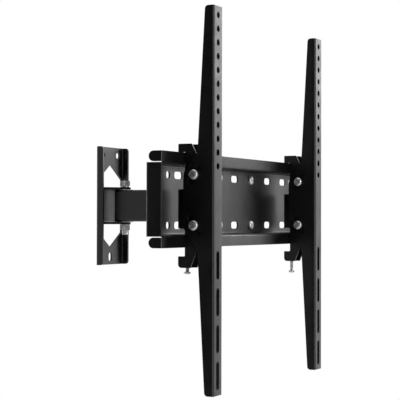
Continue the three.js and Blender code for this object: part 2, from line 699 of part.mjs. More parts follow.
// ---- Crossbar ------------------------------------------------------------------
// One pressed sheet: a shallow box open to the front, with lips and bent-back ears.
function crossbar() {
  const end = RAIL_LENGTH / 2;
  const lipBack = RAIL_FRONT - RAIL_SHEET;
  const bendOut = RAIL_BEND + RAIL_SHEET;
  const section = sidePrism(
    [
      [RAIL_FRONT, LIP_TOP],
      [lipBack, LIP_TOP],
      [lipBack, LEDGE_OUT, RAIL_BEND],
      [RAIL_REAR, LEDGE_OUT, bendOut],
      [RAIL_REAR, -LEDGE_OUT, bendOut],
      [lipBack, -LEDGE_OUT, RAIL_BEND],
      [lipBack, -LIP_TOP],
      [RAIL_FRONT, -LIP_TOP],
      [RAIL_FRONT, -LEDGE_IN, bendOut],
      [RAIL_WEB, -LEDGE_IN, RAIL_BEND],
      [RAIL_WEB, LEDGE_IN, RAIL_BEND],
      [RAIL_FRONT, LEDGE_IN, bendOut],
    ],
    -end,
    end,
  );
  const ear = [
    [RAIL_FRONT, LEDGE_OUT + RAIL_EAR_SLIT],
    [RAIL_FRONT, LIP_TOP],
    [RAIL_FRONT - RAIL_EAR_DEPTH, LIP_TOP, RAIL_EAR_ROUND],
    [RAIL_FRONT - RAIL_EAR_DEPTH, LEDGE_OUT + RAIL_EAR_SLIT, RAIL_EAR_ROUND],
  ];
  const flange = box(RAIL_REAR, RAIL_FRONT - RAIL_SHEET / 2, -LEDGE_OUT, LEDGE_OUT);
  const slit = box(
    RAIL_REAR - CUT_OVERRUN,
    RAIL_FRONT + CUT_OVERRUN,
    LEDGE_OUT,
    LEDGE_OUT + RAIL_EAR_SLIT,
  );
  const atBothEnds = (corners, width) => [
    sidePrism(corners, -end, -end + width),
    sidePrism(corners, end - width, end),
  ];
  const ends = [ear, mirroredZ(ear), flange].flatMap((corners) => atBothEnds(corners, RAIL_SHEET));
  const slits = [slit, mirroredZ(slit)].flatMap((corners) => atBothEnds(corners, bendOut));
  const roundedEnds = planPrism(
    box(-end, end, RAIL_REAR, RAIL_FRONT, RAIL_CORNER),
    -LIP_TOP - CUT_OVERRUN,
    LIP_TOP + CUT_OVERRUN,
  );
  const pressed = cut(join([section, ...ends]).intersect(roundedEnds), slits);
  return lifted(cut(pressed, [...webCuts(), ...ledgeCuts()]), RAIL_RISE);
}

// Slots in the crossbar's web, and the bolt holes that stand in for two of them.
function webCuts() {
  const through = (corners) =>
    frontPrism(corners, RAIL_REAR - CUT_OVERRUN, RAIL_WEB + CUT_OVERRUN);
  const cuts = [];
  for (const row of [-SLOT_ROW, SLOT_ROW]) {
    for (const place of SLOT_PLACES) {
      cuts.push(through(slot(place * SLOT_PITCH, row, SLOT_WIDTH, SLOT_HEIGHT, SLOT_ROUND)));
    }
    for (const x of [-RAIL_BOLT_OFFSET, RAIL_BOLT_OFFSET]) {
      cuts.push(through(circle(x, row, SMALL_RADIUS + HOLE_PLAY)));
    }
    for (const x of [-END_SLOT_OFFSET, END_SLOT_OFFSET]) {
      cuts.push(through(slot(x, row, END_SLOT_WIDTH, SLOT_HEIGHT, SLOT_ROUND)));
    }
  }
  return cuts;
}

// Slots in the two ledges, staggered between the web's slots.
function ledgeCuts() {
  const middle = (RAIL_WEB + RAIL_FRONT - RAIL_SHEET) / 2;
  const past = LEDGE_OUT + CUT_OVERRUN;
  return LEDGE_SLOT_PLACES.map((place) => {
    const x = place * SLOT_PITCH;
    const corners = slot(x, middle, LEDGE_SLOT_WIDTH, LEDGE_SLOT_DEPTH, SLOT_ROUND);
    return planPrism(corners, -past, past);
  });
}

// ---- Hook adaptors -------------------------------------------------------------
function adaptor(x) {
  const back = RAIL_FRONT - ADAPTOR_HOOK;
  const faceGap = RAIL_FRONT + SLIDE_GAP;
  const hookGap = RAIL_FRONT - RAIL_SHEET - SLIDE_GAP;
  const hookTop = LIP_TOP + ADAPTOR_TOP;
  const hookEnd = LIP_TOP + SLIDE_GAP - ADAPTOR_HOOK_DROP;
  const footTop = FLOOR_UNDER + ADAPTOR_FOOT;
  const frontEnd = LIP_TOP - ADAPTOR_NOSE_DOWN;
  const outline = [
    [back, FLOOR_UNDER, ADAPTOR_HEEL_ROUND],
    [RAIL_FRONT + ADAPTOR_FOOT_FRONT, FLOOR_UNDER],
    [ADAPTOR_FRONT - ADAPTOR_SHIN, FLOOR_UNDER + ADAPTOR_SHIN_RISE],
    [ADAPTOR_FRONT, -frontEnd, ADAPTOR_FRONT_ROUND],
    [ADAPTOR_FRONT, frontEnd, ADAPTOR_FRONT_ROUND],
    [ADAPTOR_FRONT - ADAPTOR_BROW, LIP_TOP - ADAPTOR_BROW_DOWN],
    [RAIL_FRONT + ADAPTOR_HOOK_FRONT, hookTop, ADAPTOR_TOP_ROUND],
    [back, hookTop, ADAPTOR_EDGE_ROUND],
    [back, hookEnd, ADAPTOR_EDGE_ROUND],
    [hookGap, hookEnd, ADAPTOR_EDGE_ROUND],
    [hookGap, LIP_TOP + SLIDE_GAP],
    [faceGap, LIP_TOP + SLIDE_GAP],
    [faceGap, ADAPTOR_BACK_TOP, ADAPTOR_EDGE_ROUND],
    [back, ADAPTOR_BACK_TOP, ADAPTOR_EDGE_ROUND],
    [back, ADAPTOR_BACK_BOTTOM, ADAPTOR_EDGE_ROUND],
    [faceGap, ADAPTOR_BACK_BOTTOM, ADAPTOR_EDGE_ROUND],
    [faceGap, footTop, ADAPTOR_EDGE_ROUND],
    [back, footTop, ADAPTOR_EDGE_ROUND],
  ];
  const block = sidePrism(outline, -ADAPTOR_OUTER, ADAPTOR_OUTER);
  // Everything between the side plates goes, apart from the back web and the floor.
  const backIn = back + ADAPTOR_SHEET;
  const floorTop = FLOOR_UNDER + ADAPTOR_SHEET;
  const aboveWeb = ADAPTOR_BACK_TOP + CUT_OVERRUN;
  const belowWeb = ADAPTOR_BACK_BOTTOM - CUT_OVERRUN;
  const past = ADAPTOR_FRONT + CUT_OVERRUN;
  const behind = back - CUT_OVERRUN;
  const inner = [
    [behind, hookTop + CUT_OVERRUN],
    [behind, aboveWeb],
    [backIn, aboveWeb],
    [backIn, belowWeb],
    [behind, belowWeb],
    [behind, floorTop],
    [back + ADAPTOR_FLOOR, floorTop],
    [back + ADAPTOR_FLOOR, FLOOR_UNDER - CUT_OVERRUN],
    [past, FLOOR_UNDER - CUT_OVERRUN],
    [past, hookTop + CUT_OVERRUN],
  ];
  const space = sidePrism(inner, -ADAPTOR_INNER, ADAPTOR_INNER);
  const boltHoles = [TILT_BOLT_HALF, -TILT_BOLT_HALF].map((z) =>
    sidePrism(
      circle(TILT_BOLT_REACH, z, SMALL_RADIUS + HOLE_PLAY),
      -ADAPTOR_OUTER - CUT_OVERRUN,
      ADAPTOR_OUTER + CUT_OVERRUN,
    ),
  );
  const screwHole = planPrism(
    circle(0, LOCK_REACH, LOCK_RADIUS + SEAT_GAP),
    FLOOR_UNDER - CUT_OVERRUN,
    floorTop + CUT_OVERRUN,
  );
  return cut(block, [space, ...boltHoles, screwHole]).translate([x, 0, RAIL_RISE]);
}

// A curved slot about the tilt axis, above (1) or below (-1) the crossbar's middle.
function tiltSlot(level) {
  const half = SMALL_RADIUS + HOLE_PLAY;
  const spread = THREE.MathUtils.degToRad(TILT_MAX_DEG + TILT_SLOT_SPARE_DEG);
  const at = (radius, angle) => [
    TILT_AXIS - radius * Math.cos(angle),
    level * radius * Math.sin(angle),
  ];
  const outer = [];
  const inner = [];
  for (let step = 0; step <= TILT_SLOT_STEPS; step += 1) {
    const angle = TILT_ANGLE - spread + (2 * spread * step) / TILT_SLOT_STEPS;
    outer.push(at(TILT_RADIUS + half, angle));
    inner.unshift(at(TILT_RADIUS - half, angle));
  }
  const side = BRACKET_SIDE + CUT_OVERRUN;
  const endRound = (angle) => sidePrism(circle(...at(TILT_RADIUS, angle), half), -side, side);
  return join([
    sidePrism([...outer, ...inner], -side, side),
    endRound(TILT_ANGLE - spread),
    endRound(TILT_ANGLE + spread),
  ]);
}

// ---- TV brackets ---------------------------------------------------------------
function tvBracket(x) {
  const side = BRACKET_SIDE;
  const top = BRACKET_HEIGHT / 2;
  const inside = BRACKET_INSIDE;
  const bendOut = BRACKET_BEND + BRACKET_SHEET;
  const back = TV_FACE - BRACKET_LUG_DEPTH;
  const channel = planPrism(
    [
      [-side, back],
      [-side, TV_FACE, bendOut],
      [side, TV_FACE, bendOut],
      [side, back],
      [inside, back],
      [inside, TV_FACE - BRACKET_SHEET, BRACKET_BEND],
      [-inside, TV_FACE - BRACKET_SHEET, BRACKET_BEND],
      [-inside, back],
    ],
    -top,
    top,
  );
  const endBack = TV_FACE - BRACKET_END_DEPTH;
  const midBack = TV_FACE - BRACKET_MID_DEPTH;
  const profile = sidePrism(
    [
      [TV_FACE + CUT_OVERRUN, top],
      [endBack, top, BRACKET_END_ROUND],
      [midBack, BRACKET_LUG_ROOT, BRACKET_ROOT_ROUND],
      [back, BRACKET_LUG_HALF, BRACKET_LUG_CORNER],
      [back, -BRACKET_LUG_HALF, BRACKET_LUG_CORNER],
      [midBack, -BRACKET_LUG_ROOT, BRACKET_ROOT_ROUND],
      [endBack, -top, BRACKET_END_ROUND],
      [TV_FACE + CUT_OVERRUN, -top],
    ],
    -side - CUT_OVERRUN,
    side + CUT_OVERRUN,
  );
  const pressed = lifted(cut(channel.intersect(profile), faceCuts()), BRACKET_RISE);
  return cut(pressed, [tiltSlot(1), tiltSlot(-1)]).translate([x, 0, RAIL_RISE]);
}

// The row of round holes and the row of long slots in a bracket's front.
function faceCuts() {
  const top = BRACKET_HEIGHT / 2;
  const through = (corners) =>
    frontPrism(corners, TV_FACE - BRACKET_SHEET - CUT_OVERRUN, TV_FACE + CUT_OVERRUN);
  const cuts = [];
  for (let row = 0; row < HOLE_COUNT; row += 1) {
    const z = top - HOLE_FROM_TOP - row * HOLE_PITCH;
    cuts.push(through(circle(0, z, HOLE_RADIUS)));
  }
  for (let row = 0; row < LONG_SLOT_COUNT; row += 1) {
    const z = -top + LONG_SLOT_FROM_BOTTOM + row * LONG_SLOT_PITCH;
    cuts.push(through(slot(0, z, 2 * HOLE_RADIUS, LONG_SLOT_LENGTH)));
  }
  return cuts;
}

// Bolt, spacer, washer and nut through one bracket and both adaptor plates.
function tiltSet(sideName, x, level, z) {
  const height = RAIL_RISE + z;
  const seat = BRACKET_SIDE + SLIDE_GAP;
  const washerFrom = seat;
  const nutFrom = washerFrom + SMALL_WASHER + SEAT_GAP;
  const length = seat + nutFrom + SMALL_NUT + SMALL_TAIL;
  const spacerHalf = ADAPTOR_INNER - SEAT_GAP;
  const bolt = panScrew(SMALL_RADIUS, length, SMALL_HEAD_RADIUS, SMALL_HEAD);
  const nut = hexNut(SMALL_RADIUS, SMALL_HEX, SMALL_NUT);
  const washer = ring(SMALL_RADIUS + HOLE_PLAY, SMALL_WASHER_RADIUS, SMALL_WASHER);
  const spacer = ring(SMALL_RADIUS + HOLE_PLAY, SPACER_RADIUS, 2 * spacerHalf);
  const put = (solid, offset) =>
    placed(solid, FACING_LEFT, x + offset, TILT_BOLT_REACH, height);
  return [
    piece(`${sideName}_tilt_bolt_${level}`, put(bolt, -seat), "zinc"),
    piece(`${sideName}_tilt_spacer_${level}`, put(spacer, spacerHalf), "zinc"),
    piece(`${sideName}_tilt_washer_${level}`, put(washer, washerFrom + SMALL_WASHER), "zinc"),
    piece(`${sideName}_tilt_nut_${level}`, put(nut, nutFrom + SMALL_NUT), "zinc"),
  ];
}

// A screw up through an adaptor's floor that bears on the crossbar's lower lip.
function lockScrew(x, backedOff) {
  const screw = panScrew(LOCK_RADIUS, LOCK_LENGTH, LOCK_HEAD_RADIUS, LOCK_HEAD);
  const tip = RAIL_RISE - LIP_TOP - LOCK_TOUCH - backedOff;
  return placed(screw, PLAN_VIEW, x, LOCK_REACH, tip - LOCK_LENGTH);
}

// Bolt and nut that hold the crossbar's web to the head bracket.
function railBoltSet({ name, x, z }) {
  const gripLength = RAIL_WEB + SEAT_GAP - (HEAD_REAR - SEAT_GAP);
  const bolt = panScrew(
    SMALL_RADIUS,
    gripLength + SMALL_NUT + SMALL_TAIL,
    SMALL_HEAD_RADIUS,
    SMALL_HEAD,
  );
  const nut = hexNut(SMALL_RADIUS, SMALL_HEX, SMALL_NUT);
  const nutReach = HEAD_REAR - SEAT_GAP - SMALL_NUT;
  return [
    piece(
      `crossbar_bolt_${name}`,
      placed(bolt, FRONT_VIEW, x, RAIL_WEB + SEAT_GAP, z),
      "zinc",
    ),
    piece(`crossbar_nut_${name}`, placed(nut, FRONT_VIEW, x, nutReach, z), "zinc"),
  ];
}

// ---- Assembly ------------------------------------------------------------------
function piece(name, solid, finish) {
  const mesh = new THREE.Mesh(
    geometryFrom(solid),
    new THREE.MeshStandardMaterial(FINISHES[finish]),
  );
  mesh.name = name;
  return mesh;
}

function bracketSide(sideName, x, backedOff) {
  const side = new THREE.Group();
  side.add(
    piece(`${sideName}_adaptor`, adaptor(x), "coat"),
    piece(`${sideName}_tv_bracket`, tvBracket(x), "coat"),
    piece(`${sideName}_lock_screw`, lockScrew(x, backedOff), "zinc"),
    ...tiltSet(sideName, x, "upper", TILT_BOLT_HALF),
    ...tiltSet(sideName, x, "lower", -TILT_BOLT_HALF),
  );
  return side;
}

const wallBushFrom = ARM_TOP + SEAT_GAP;
const headBushFrom = EAR_UNDER - SEAT_GAP - BUSH_FLANGE;

const group = new THREE.Group();
group.add(
  piece("wall_plate", wallPlate(), "coat"),
  piece("swing_arm", swingArm(), "coat"),
  piece("arm_end_cap", armEndCap(), "cap"),
  piece("wall_bush_top", bush(WALL_PIVOT, wallBushFrom, false), "nylon"),
  piece("wall_bush_bottom", bush(WALL_PIVOT, -wallBushFrom - BUSH_FLANGE, true), "nylon"),
  piece("head_bush_top", bush(HEAD_PIVOT, headBushFrom, true), "nylon"),
  piece("head_bush_bottom", bush(HEAD_PIVOT, -headBushFrom - BUSH_FLANGE, false), "nylon"),
  ...pivotSet("wall_pivot", WALL_PIVOT, TAB_OVER),
  ...pivotSet("head_pivot", HEAD_PIVOT, ARM_TOP),
  piece("head_bracket", headBracket(), "coat"),
  piece("crossbar", crossbar(), "coat"),
  ...railBoltPlaces().flatMap(railBoltSet),
  bracketSide("left", LEFT_BRACKET_X, 0),
  bracketSide("right", RIGHT_BRACKET_X, RIGHT_LOCK_BACKED_OFF),
);

export default group;
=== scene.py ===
import itertools
import json
import math

import bmesh
import bpy
from bpy.props import FloatProperty, FloatVectorProperty, IntProperty, PointerProperty
from mathutils import Matrix, Vector

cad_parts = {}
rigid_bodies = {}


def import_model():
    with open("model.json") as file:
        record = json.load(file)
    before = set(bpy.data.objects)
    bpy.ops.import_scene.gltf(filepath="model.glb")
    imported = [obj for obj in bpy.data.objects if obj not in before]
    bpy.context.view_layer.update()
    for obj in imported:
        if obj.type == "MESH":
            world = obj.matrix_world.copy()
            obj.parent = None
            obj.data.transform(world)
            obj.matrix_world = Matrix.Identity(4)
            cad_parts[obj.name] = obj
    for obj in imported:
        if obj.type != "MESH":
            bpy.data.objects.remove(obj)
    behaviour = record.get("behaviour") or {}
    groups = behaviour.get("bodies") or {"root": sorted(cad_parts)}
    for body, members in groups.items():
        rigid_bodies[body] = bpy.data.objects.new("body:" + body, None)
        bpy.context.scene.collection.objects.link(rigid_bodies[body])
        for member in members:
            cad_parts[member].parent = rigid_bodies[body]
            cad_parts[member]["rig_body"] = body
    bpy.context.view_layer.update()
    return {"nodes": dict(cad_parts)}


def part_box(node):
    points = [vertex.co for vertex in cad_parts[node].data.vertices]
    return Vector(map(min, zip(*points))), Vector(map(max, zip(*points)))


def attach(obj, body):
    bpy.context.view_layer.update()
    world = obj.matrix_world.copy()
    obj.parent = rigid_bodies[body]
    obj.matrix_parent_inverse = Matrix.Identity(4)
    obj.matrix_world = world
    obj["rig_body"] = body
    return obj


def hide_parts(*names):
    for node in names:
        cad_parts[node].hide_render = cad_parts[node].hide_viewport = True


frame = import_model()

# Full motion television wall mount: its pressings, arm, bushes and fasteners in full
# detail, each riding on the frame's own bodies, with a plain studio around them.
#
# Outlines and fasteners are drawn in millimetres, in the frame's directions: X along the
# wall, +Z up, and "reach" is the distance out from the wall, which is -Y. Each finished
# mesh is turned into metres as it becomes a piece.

bl_info = {
    "name": "Television Wall Mount",
    "version": (1, 0, 0),
    "blender": (4, 5, 0),
    "location": "3D View > Sidebar > Wall Mount",
    "description": "Builds a full motion television wall mount around its frame",
    "category": "Add Mesh",
}

MM = 0.001
SIDES = ("left", "right")
LEVELS = ("upper", "lower")
PLACES = tuple(itertools.product(SIDES, LEVELS))


# ---- Sizes and colours that a user can change ----------------------------------------
def length(name, description, millimetres):
    """A length property, shown in the scene's unit, from a default in millimetres."""
    return FloatProperty(
        name=name,
        description=description,
        default=millimetres * MM,
        min=0.0,
        precision=4,
        unit="LENGTH",
    )


def angle(name, description, degrees):
    return FloatProperty(
        name=name,
        description=description,
        default=math.radians(degrees),
        unit="ROTATION",
    )


def colour(name, description, value):
    return FloatVectorProperty(
        name=name,
        description=description,
        default=value,
        size=3,
        min=0.0,
        max=1.0,
        subtype="COLOR",
    )


def amount(name, description, value):
    return FloatProperty(
        name=name,
        description=description,
        default=value,
        min=0.0,
        max=1.0,
        subtype="FACTOR",
    )


class MountSmoothness(bpy.types.PropertyGroup):
    """How finely round shapes are drawn."""

    arc_steps: IntProperty(name="Bend steps", description="Flats in one bend", default=7, min=1)
    circle_steps: IntProperty(
        name="Hole steps", description="Flats round one hole", default=36, min=8
    )
    edge_break: length("Edge break", "Rounding that the coating leaves on a cut edge", 0.3)
    bead: length("Bead", "Rounding of a moulded or machined edge", 0.25)


class MountPlateSizes(bpy.types.PropertyGroup):
    """The wall plate and its two pivot tabs."""

    sheet: length("Sheet", "Thickness of the steel", 2.5)
    flange: length("Flange", "Reach of the side flanges", 10.5)
    bend: length("Bend", "Inside radius of every bend", 1.5)
    corner: length("Corner", "Rounding of the flanges' front corners", 4.0)
    tab_width: length("Tab width", "Width of a pivot tab at its bend", 57.0)
    tab_shoulder: length("Tab shoulder", "Reach where a tab starts to narrow", 13.0)
    tab_nose: length("Tab nose", "From the pivot's axis to a tab's tip", 8.5)
    tab_round: length("Tab tip", "Rounding of a tab's tip", 5.0)
    tab_under: length("Tab height", "From the middle to a tab's inner face", 20.6)
    pivot_hole: length("Pivot hole", "Radius of the hole for the pivot bolt", 4.3)
    lag_width: length("Upper slot width", "Width of the two upper screw slots", 9.6)
    lag_height: length("Upper slot height", "Height of the two upper screw slots", 8.0)
    lag_offset: length("Upper slot offset", "Each upper slot from the middle", 18.5)
    lag_drop: length("Upper slot drop", "Upper slots below the plate's top", 9.8)
    low_width: length("Lower slot width", "Width of the lower screw slot", 8.6)
    low_height: length("Lower slot height", "Height of the lower screw slot", 12.0)
    low_rise: length("Lower slot rise", "Lower slot above the plate's bottom", 9.7)


class MountArmSizes(bpy.types.PropertyGroup):
    """The swing arm's tube and its end cap."""

    wall: length("Wall", "Thickness of the tube's wall", 2.5)
    edge: length("Edge", "Outside rounding of the tube's long edges", 3.0)
    ear_radius: length("Ear", "Rounded nose of the two clevis ears", 12.5)
    ear_clear: length("Mouth", "From the head pivot back to the side walls", 15.0)
    bush_hole: length("Bush hole", "Radius of the holes for the bushes", 5.75)
    tongue: length("Cap tongue", "Thickness of the cap's tongues", 1.8)
    tongue_gap: length("Cap play", "Gap between the tongues and the tube", 0.1)
    tongue_drop: length("Cap tongue drop", "Tongues' ends below the tube's inside", 4.0)
    cap: length("Cap", "Thickness of the end cap's face", 2.4)


class MountHeadSizes(bpy.types.PropertyGroup):
    """The folded bracket between the arm and the crossbar."""

    sheet: length("Sheet", "Thickness of the steel", 3.0)
    bend: length("Bend", "Inside radius of the tabs' bends", 1.0)
    notch: length("Notch", "Width of the notches above and below the tabs", 42.0)
    notch_round: length("Notch corner", "Rounding at the notches' roots", 2.0)
    corner: length("Corner", "Rounding of the plate's corners", 5.0)
    tab_width: length("Tab width", "Width of a tab at its bend", 36.0)
    tab_over: length("Tab height", "From the middle to a tab's outer face", 16.3)
    tab_straight: length("Tab straight", "Parallel stretch of a tab behind the plate", 2.0)
    bolt_hole: length("Bolt hole", "Radius of the four bolt holes", 3.3)


class MountRailSizes(bpy.types.PropertyGroup):
    """The crossbar."""

    sheet: length("Sheet", "Thickness of the steel", 2.0)
    bend: length("Bend", "Inside radius of the long bends", 1.5)
    lip: length("Lip", "Height of a lip beyond its ledge", 12.3)
    corner: length("Corner", "Outside rounding of the bends at both ends", 3.5)
    ear_depth: length("Ear depth", "Lip ends bent back towards the wall", 16.0)
    ear_round: length("Ear rounding", "Rounding of the ears' rear corners", 5.6)
    ear_slit: length("Ear slit", "Between an ear and the box beside it", 0.9)
    slot_pitch: length("Slot pitch", "Distance between slots", 50.0)
    slot_row: length("Slot row", "Each row of slots from the middle", 27.75)
    slot_width: length("Slot width", "Width of a long slot", 20.0)
    slot_height: length("Slot height", "Height of every slot in the web", 8.2)
    slot_round: length("Slot corner", "Rounding of the slots' corners", 3.4)
    end_offset: length("End slot offset", "End slots from the middle", 175.0)
    end_width: length("End slot width", "Width of an end slot", 9.0)
    ledge_slot_depth: length("Ledge slot", "Depth of a slot in a ledge", 8.0)


class MountAdaptorSizes(bpy.types.PropertyGroup):
    """The two hook adaptors that hang on the crossbar."""

    sheet: length("Sheet", "Thickness of the steel", 2.0)
    slide_gap: length("Running gap", "Between the crossbar's lips and a hook", 0.4)
    hook_drop: length("Hook drop", "How far a hook comes down behind the lip", 9.4)
    foot: length("Foot", "Height of the foot below the lower lip", 12.7)
    back_top: length("Web top", "Back web's upper edge above the middle", 11.9)
    back_bottom: length("Web bottom", "Back web's lower edge below the middle", 31.3)
    floor: length("Floor", "Front to rear length of the foot's floor", 11.0)
    nose_down: length("Nose", "Front edge's two ends, inside the lips' edges", 15.0)
    brow: length("Brow", "Upper shoulder behind the front edge", 6.5)
    brow_down: length("Brow drop", "Upper shoulder below the upper lip's edge", 3.0)
    hook_front: length("Hook front", "Hook's top edge in front of the lips", 8.5)
    foot_front: length("Foot front", "Foot's lower edge in front of the lips", 7.0)
    shin: length("Shin", "Lower shoulder behind the front edge", 8.5)
    shin_rise: length("Shin rise", "Lower shoulder above the floor", 15.0)
    heel_round: length("Heel", "Rounding of the foot's rear corner", 4.0)
    front_round: length("Front corner", "Rounding of the front edge's ends", 3.0)
    top_round: length("Top corner", "Rounding of the hook's front corner", 2.0)
    edge_round: length("Edge corner", "Rounding of the other corners", 1.0)
    screw_hole: length("Screw hole", "Radius of the lock screw's hole", 2.3)


class MountBracketSizes(bpy.types.PropertyGroup):
    """The two vertical brackets that carry the television."""

    sheet: length("Sheet", "Thickness of the steel", 2.0)
    bend: length("Bend", "Inside radius of the two long bends", 0.6)
    end_depth: length("End depth", "Depth of the side walls at the ends", 10.5)
    mid_depth: length("Middle depth", "Depth of the side walls beside the lug", 19.3)
    end_round: length("End corner", "Rounding of the side walls' end corners", 4.0)
    lug_root: length("Lug root", "Half height where the lug starts", 51.0)
    lug_half: length("Lug back", "Half height of the lug's back", 31.0)
    lug_corner: length("Lug corner", "Rounding of the lug's corners", 14.0)
    root_round: length("Lug root rounding", "Rounding where the lug starts", 5.0)
    hole: length("Hole", "Radius of the round holes", 3.6)
    hole_pitch: length("Hole pitch", "Distance between the round holes", 15.0)
    hole_drop: length("First hole", "Top hole below the bracket's top", 10.0)
    hole_count: IntProperty(name="Holes", description="Round holes", default=12, min=0)
    slot_length: length("Slot length", "Length of a long slot", 31.0)
    slot_pitch: length("Slot pitch", "Distance between the long slots", 40.0)
    slot_rise: length("First slot", "Lowest slot's middle above the bottom", 21.5)
    slot_count: IntProperty(name="Slots", description="Long slots", default=4, min=0)
    tilt_ahead: length("Tilt axis", "Tilt axis in front of the bracket's face", 21.5)
    tilt_half_width: length("Tilt slot", "Half the width of a tilt slot", 3.3)
    tilt_travel: angle("Tilt travel", "Tilt slot's travel each way", 10.3)


class MountFastenerSizes(bpy.types.PropertyGroup):
    """Bolts, nuts, washers, screws and bushes. Their places come from the frame."""

    pivot_radius: length("Pivot bolt", "Radius of a pivot bolt", 4.0)
    pivot_hex: length("Pivot hexagon", "Across flats", 12.0)
    pivot_head: length("Pivot head", "Height of a pivot bolt's head", 6.9)
    pivot_pitch: length("Pivot thread", "Thread pitch of a pivot bolt", 1.25)
    small_radius: length("Small bolt", "Radius of the tilt and crossbar bolts", 3.0)
    small_head: length("Small head", "Height of a small bolt's head", 3.6)
    small_hex: length("Small hexagon", "Across flats", 10.0)
    small_pitch: length("Small thread", "Thread pitch of a small bolt", 1.0)
    lock_radius: length("Lock screw", "Radius of a lock screw", 2.2)
    lock_head: length("Lock head", "Height of a lock screw's head", 2.6)
    lock_pitch: length("Lock thread", "Thread pitch of a lock screw", 0.7)
    bore_gap: length("Bore gap", "Radial gap between a bore and its bolt", 0.15)
    bush_barrel: length("Bush barrel", "Outside radius of a bush's barrel", 5.65)
    bush_flange: length("Bush flange", "Thickness of a bush's flange", 0.7)


class MountFinishes(bpy.types.PropertyGroup):
    """Colours and gloss of the finishes."""

    coat: colour("Powder coat", "Black powder coat on the pressings", (0.0045, 0.0045, 0.005))
    coat_worn: colour("Worn coat", "Coat where an edge has rubbed", (0.07, 0.072, 0.077))
    coat_gloss: amount("Coat roughness", "Roughness of the powder coat", 0.33)
    # Painted light: the arm wears the same black powder coat as the pressings, given a lighter base
    # colour so that its sides show the brighter light falling on them.
    arm_coat: colour("Arm coat", "Coat on the arm's drawn tube", (0.012, 0.012, 0.013))
    zinc: colour("Zinc", "Bright zinc plate on the fasteners", (0.88, 0.88, 0.89))
    zinc_dull: colour("Dull zinc", "Zinc in its duller patches", (0.70, 0.70, 0.72))
    nylon: colour("Nylon", "Natural nylon of the bushes", (0.78, 0.77, 0.72))
    cap: colour("End cap", "Moulded end cap", (0.012, 0.012, 0.013))


class MountStage(bpy.types.PropertyGroup):
    """The studio and the camera."""

    floor_drop: length("Floor", "Floor below the wall plate's middle", 750.0)
    floor_size: length("Floor size", "Width of the floor", 6000.0)
    floor_tone: colour("Floor tone", "Colour of the floor", (0.86, 0.86, 0.86))
    fill: amount("Fill", "Brightness of the room's fill light", 0.055)
    camera_x: FloatProperty(name="Camera X", description="Camera place", default=-1.5073, unit="LENGTH")
    camera_y: FloatProperty(name="Camera Y", description="Camera place", default=-0.8667, unit="LENGTH")
    camera_z: FloatProperty(name="Camera Z", description="Camera place", default=-0.019, unit="LENGTH")
    camera_turn: angle("Camera turn", "Camera's heading from +X towards +Y", 26.093)
    camera_rise: angle("Camera rise", "Camera's tilt above level", 0.883)
    camera_roll: angle("Camera roll", "Camera's roll", 0.126)
    lens: FloatProperty(name="Lens", description="Focal length", default=123.3, unit="CAMERA")


SETTINGS = {
    "mount_smoothness": MountSmoothness,
    "mount_plate": MountPlateSizes,
    "mount_arm": MountArmSizes,
    "mount_head": MountHeadSizes,
    "mount_rail": MountRailSizes,
    "mount_adaptor": MountAdaptorSizes,
    "mount_bracket": MountBracketSizes,
    "mount_fasteners": MountFastenerSizes,
    "mount_finishes": MountFinishes,
    "mount_stage": MountStage,
}


class Millimetres:
    """Reads a property group's lengths as millimetres and leaves angles and counts alone."""

    def __init__(self, group):
        self.group = group

    def __getattr__(self, name):
        value = getattr(self.group, name)
        unit = self.group.bl_rna.properties[name].unit
        return value / MM if unit == "LENGTH" else value


def sizes(name):
    return Millimetres(getattr(bpy.context.scene, name))


class Extent:
    """A frame node's box in millimetres, with reach in place of -Y."""

    def __init__(self, node):
        low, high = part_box(node)
        self.left, self.right = low.x / MM, high.x / MM
        self.rear, self.front = -high.y / MM, -low.y / MM
        self.bottom, self.top = low.z / MM, high.z / MM
        self.middle = (self.bottom + self.top) / 2
        self.centre = (self.left + self.right) / 2
        self.along = (self.rear + self.front) / 2
        self.width = self.right - self.left
        self.height = self.top - self.bottom
        self.depth = self.front - self.rear


# ---- Outlines ------------------------------------------------------------------------
OVERRUN = 1.0  # how far a cutter runs past the face that it cuts
HAIR = 0.01  # keeps two arcs of one outline from just meeting


def rounded(corners):
    """Turns [u, v] or [u, v, radius] corners into points, with an arc at each radius."""
    steps = bpy.context.scene.mount_smoothness.arc_steps
    points = []
    for index, (u, v, *radius) in enumerate(corners):
        here = Vector((u, v))
        if not radius or radius[0] == 0:
            points.append(here)
            continue
        back = (Vector(corners[index - 1][:2]) - here).normalized()
        ahead = (Vector(corners[(index + 1) % len(corners)][:2]) - here).normalized()
        half = back.angle(ahead) / 2
        centre = here + (back + ahead).normalized() * radius[0] / math.sin(half)
        start = here + back * radius[0] / math.tan(half) - centre
        turn = ahead.x * back.y - ahead.y * back.x
        sweep = math.copysign(math.pi - 2 * half, turn)
        for step in range(steps + 1):
            points.append(centre + Matrix.Rotation(sweep * step / steps, 2) @ start)
    return points


def rectangle(u_from, u_to, v_from, v_to, radius=0.0):
    return [
        (u_from, v_from, radius),
        (u_to, v_from, radius),
        (u_to, v_to, radius),
        (u_from, v_to, radius),
    ]


def slot_outline(u, v, width, height, radius=None):
    if radius is None:
        radius = min(width, height) / 2 - HAIR
    return rectangle(u - width / 2, u + width / 2, v - height / 2, v + height / 2, radius)


def circle(u, v, radius):
    steps = bpy.context.scene.mount_smoothness.circle_steps
    turns = [2 * math.pi * step / steps for step in range(steps)]
    return [(u + radius * math.cos(turn), v + radius * math.sin(turn)) for turn in turns]


def upside_down(corners):
    return [(u, -v, *radius) for u, v, *radius in reversed(corners)]


def both_levels(corners):
    """Half an outline and its mirror image below."""
    return [*corners, *upside_down(corners)]


def both_sides(corners):
    """Half an outline and its mirror image on the other side."""
    return [*corners, *[(-u, v, *radius) for u, v, *radius in reversed(corners)]]


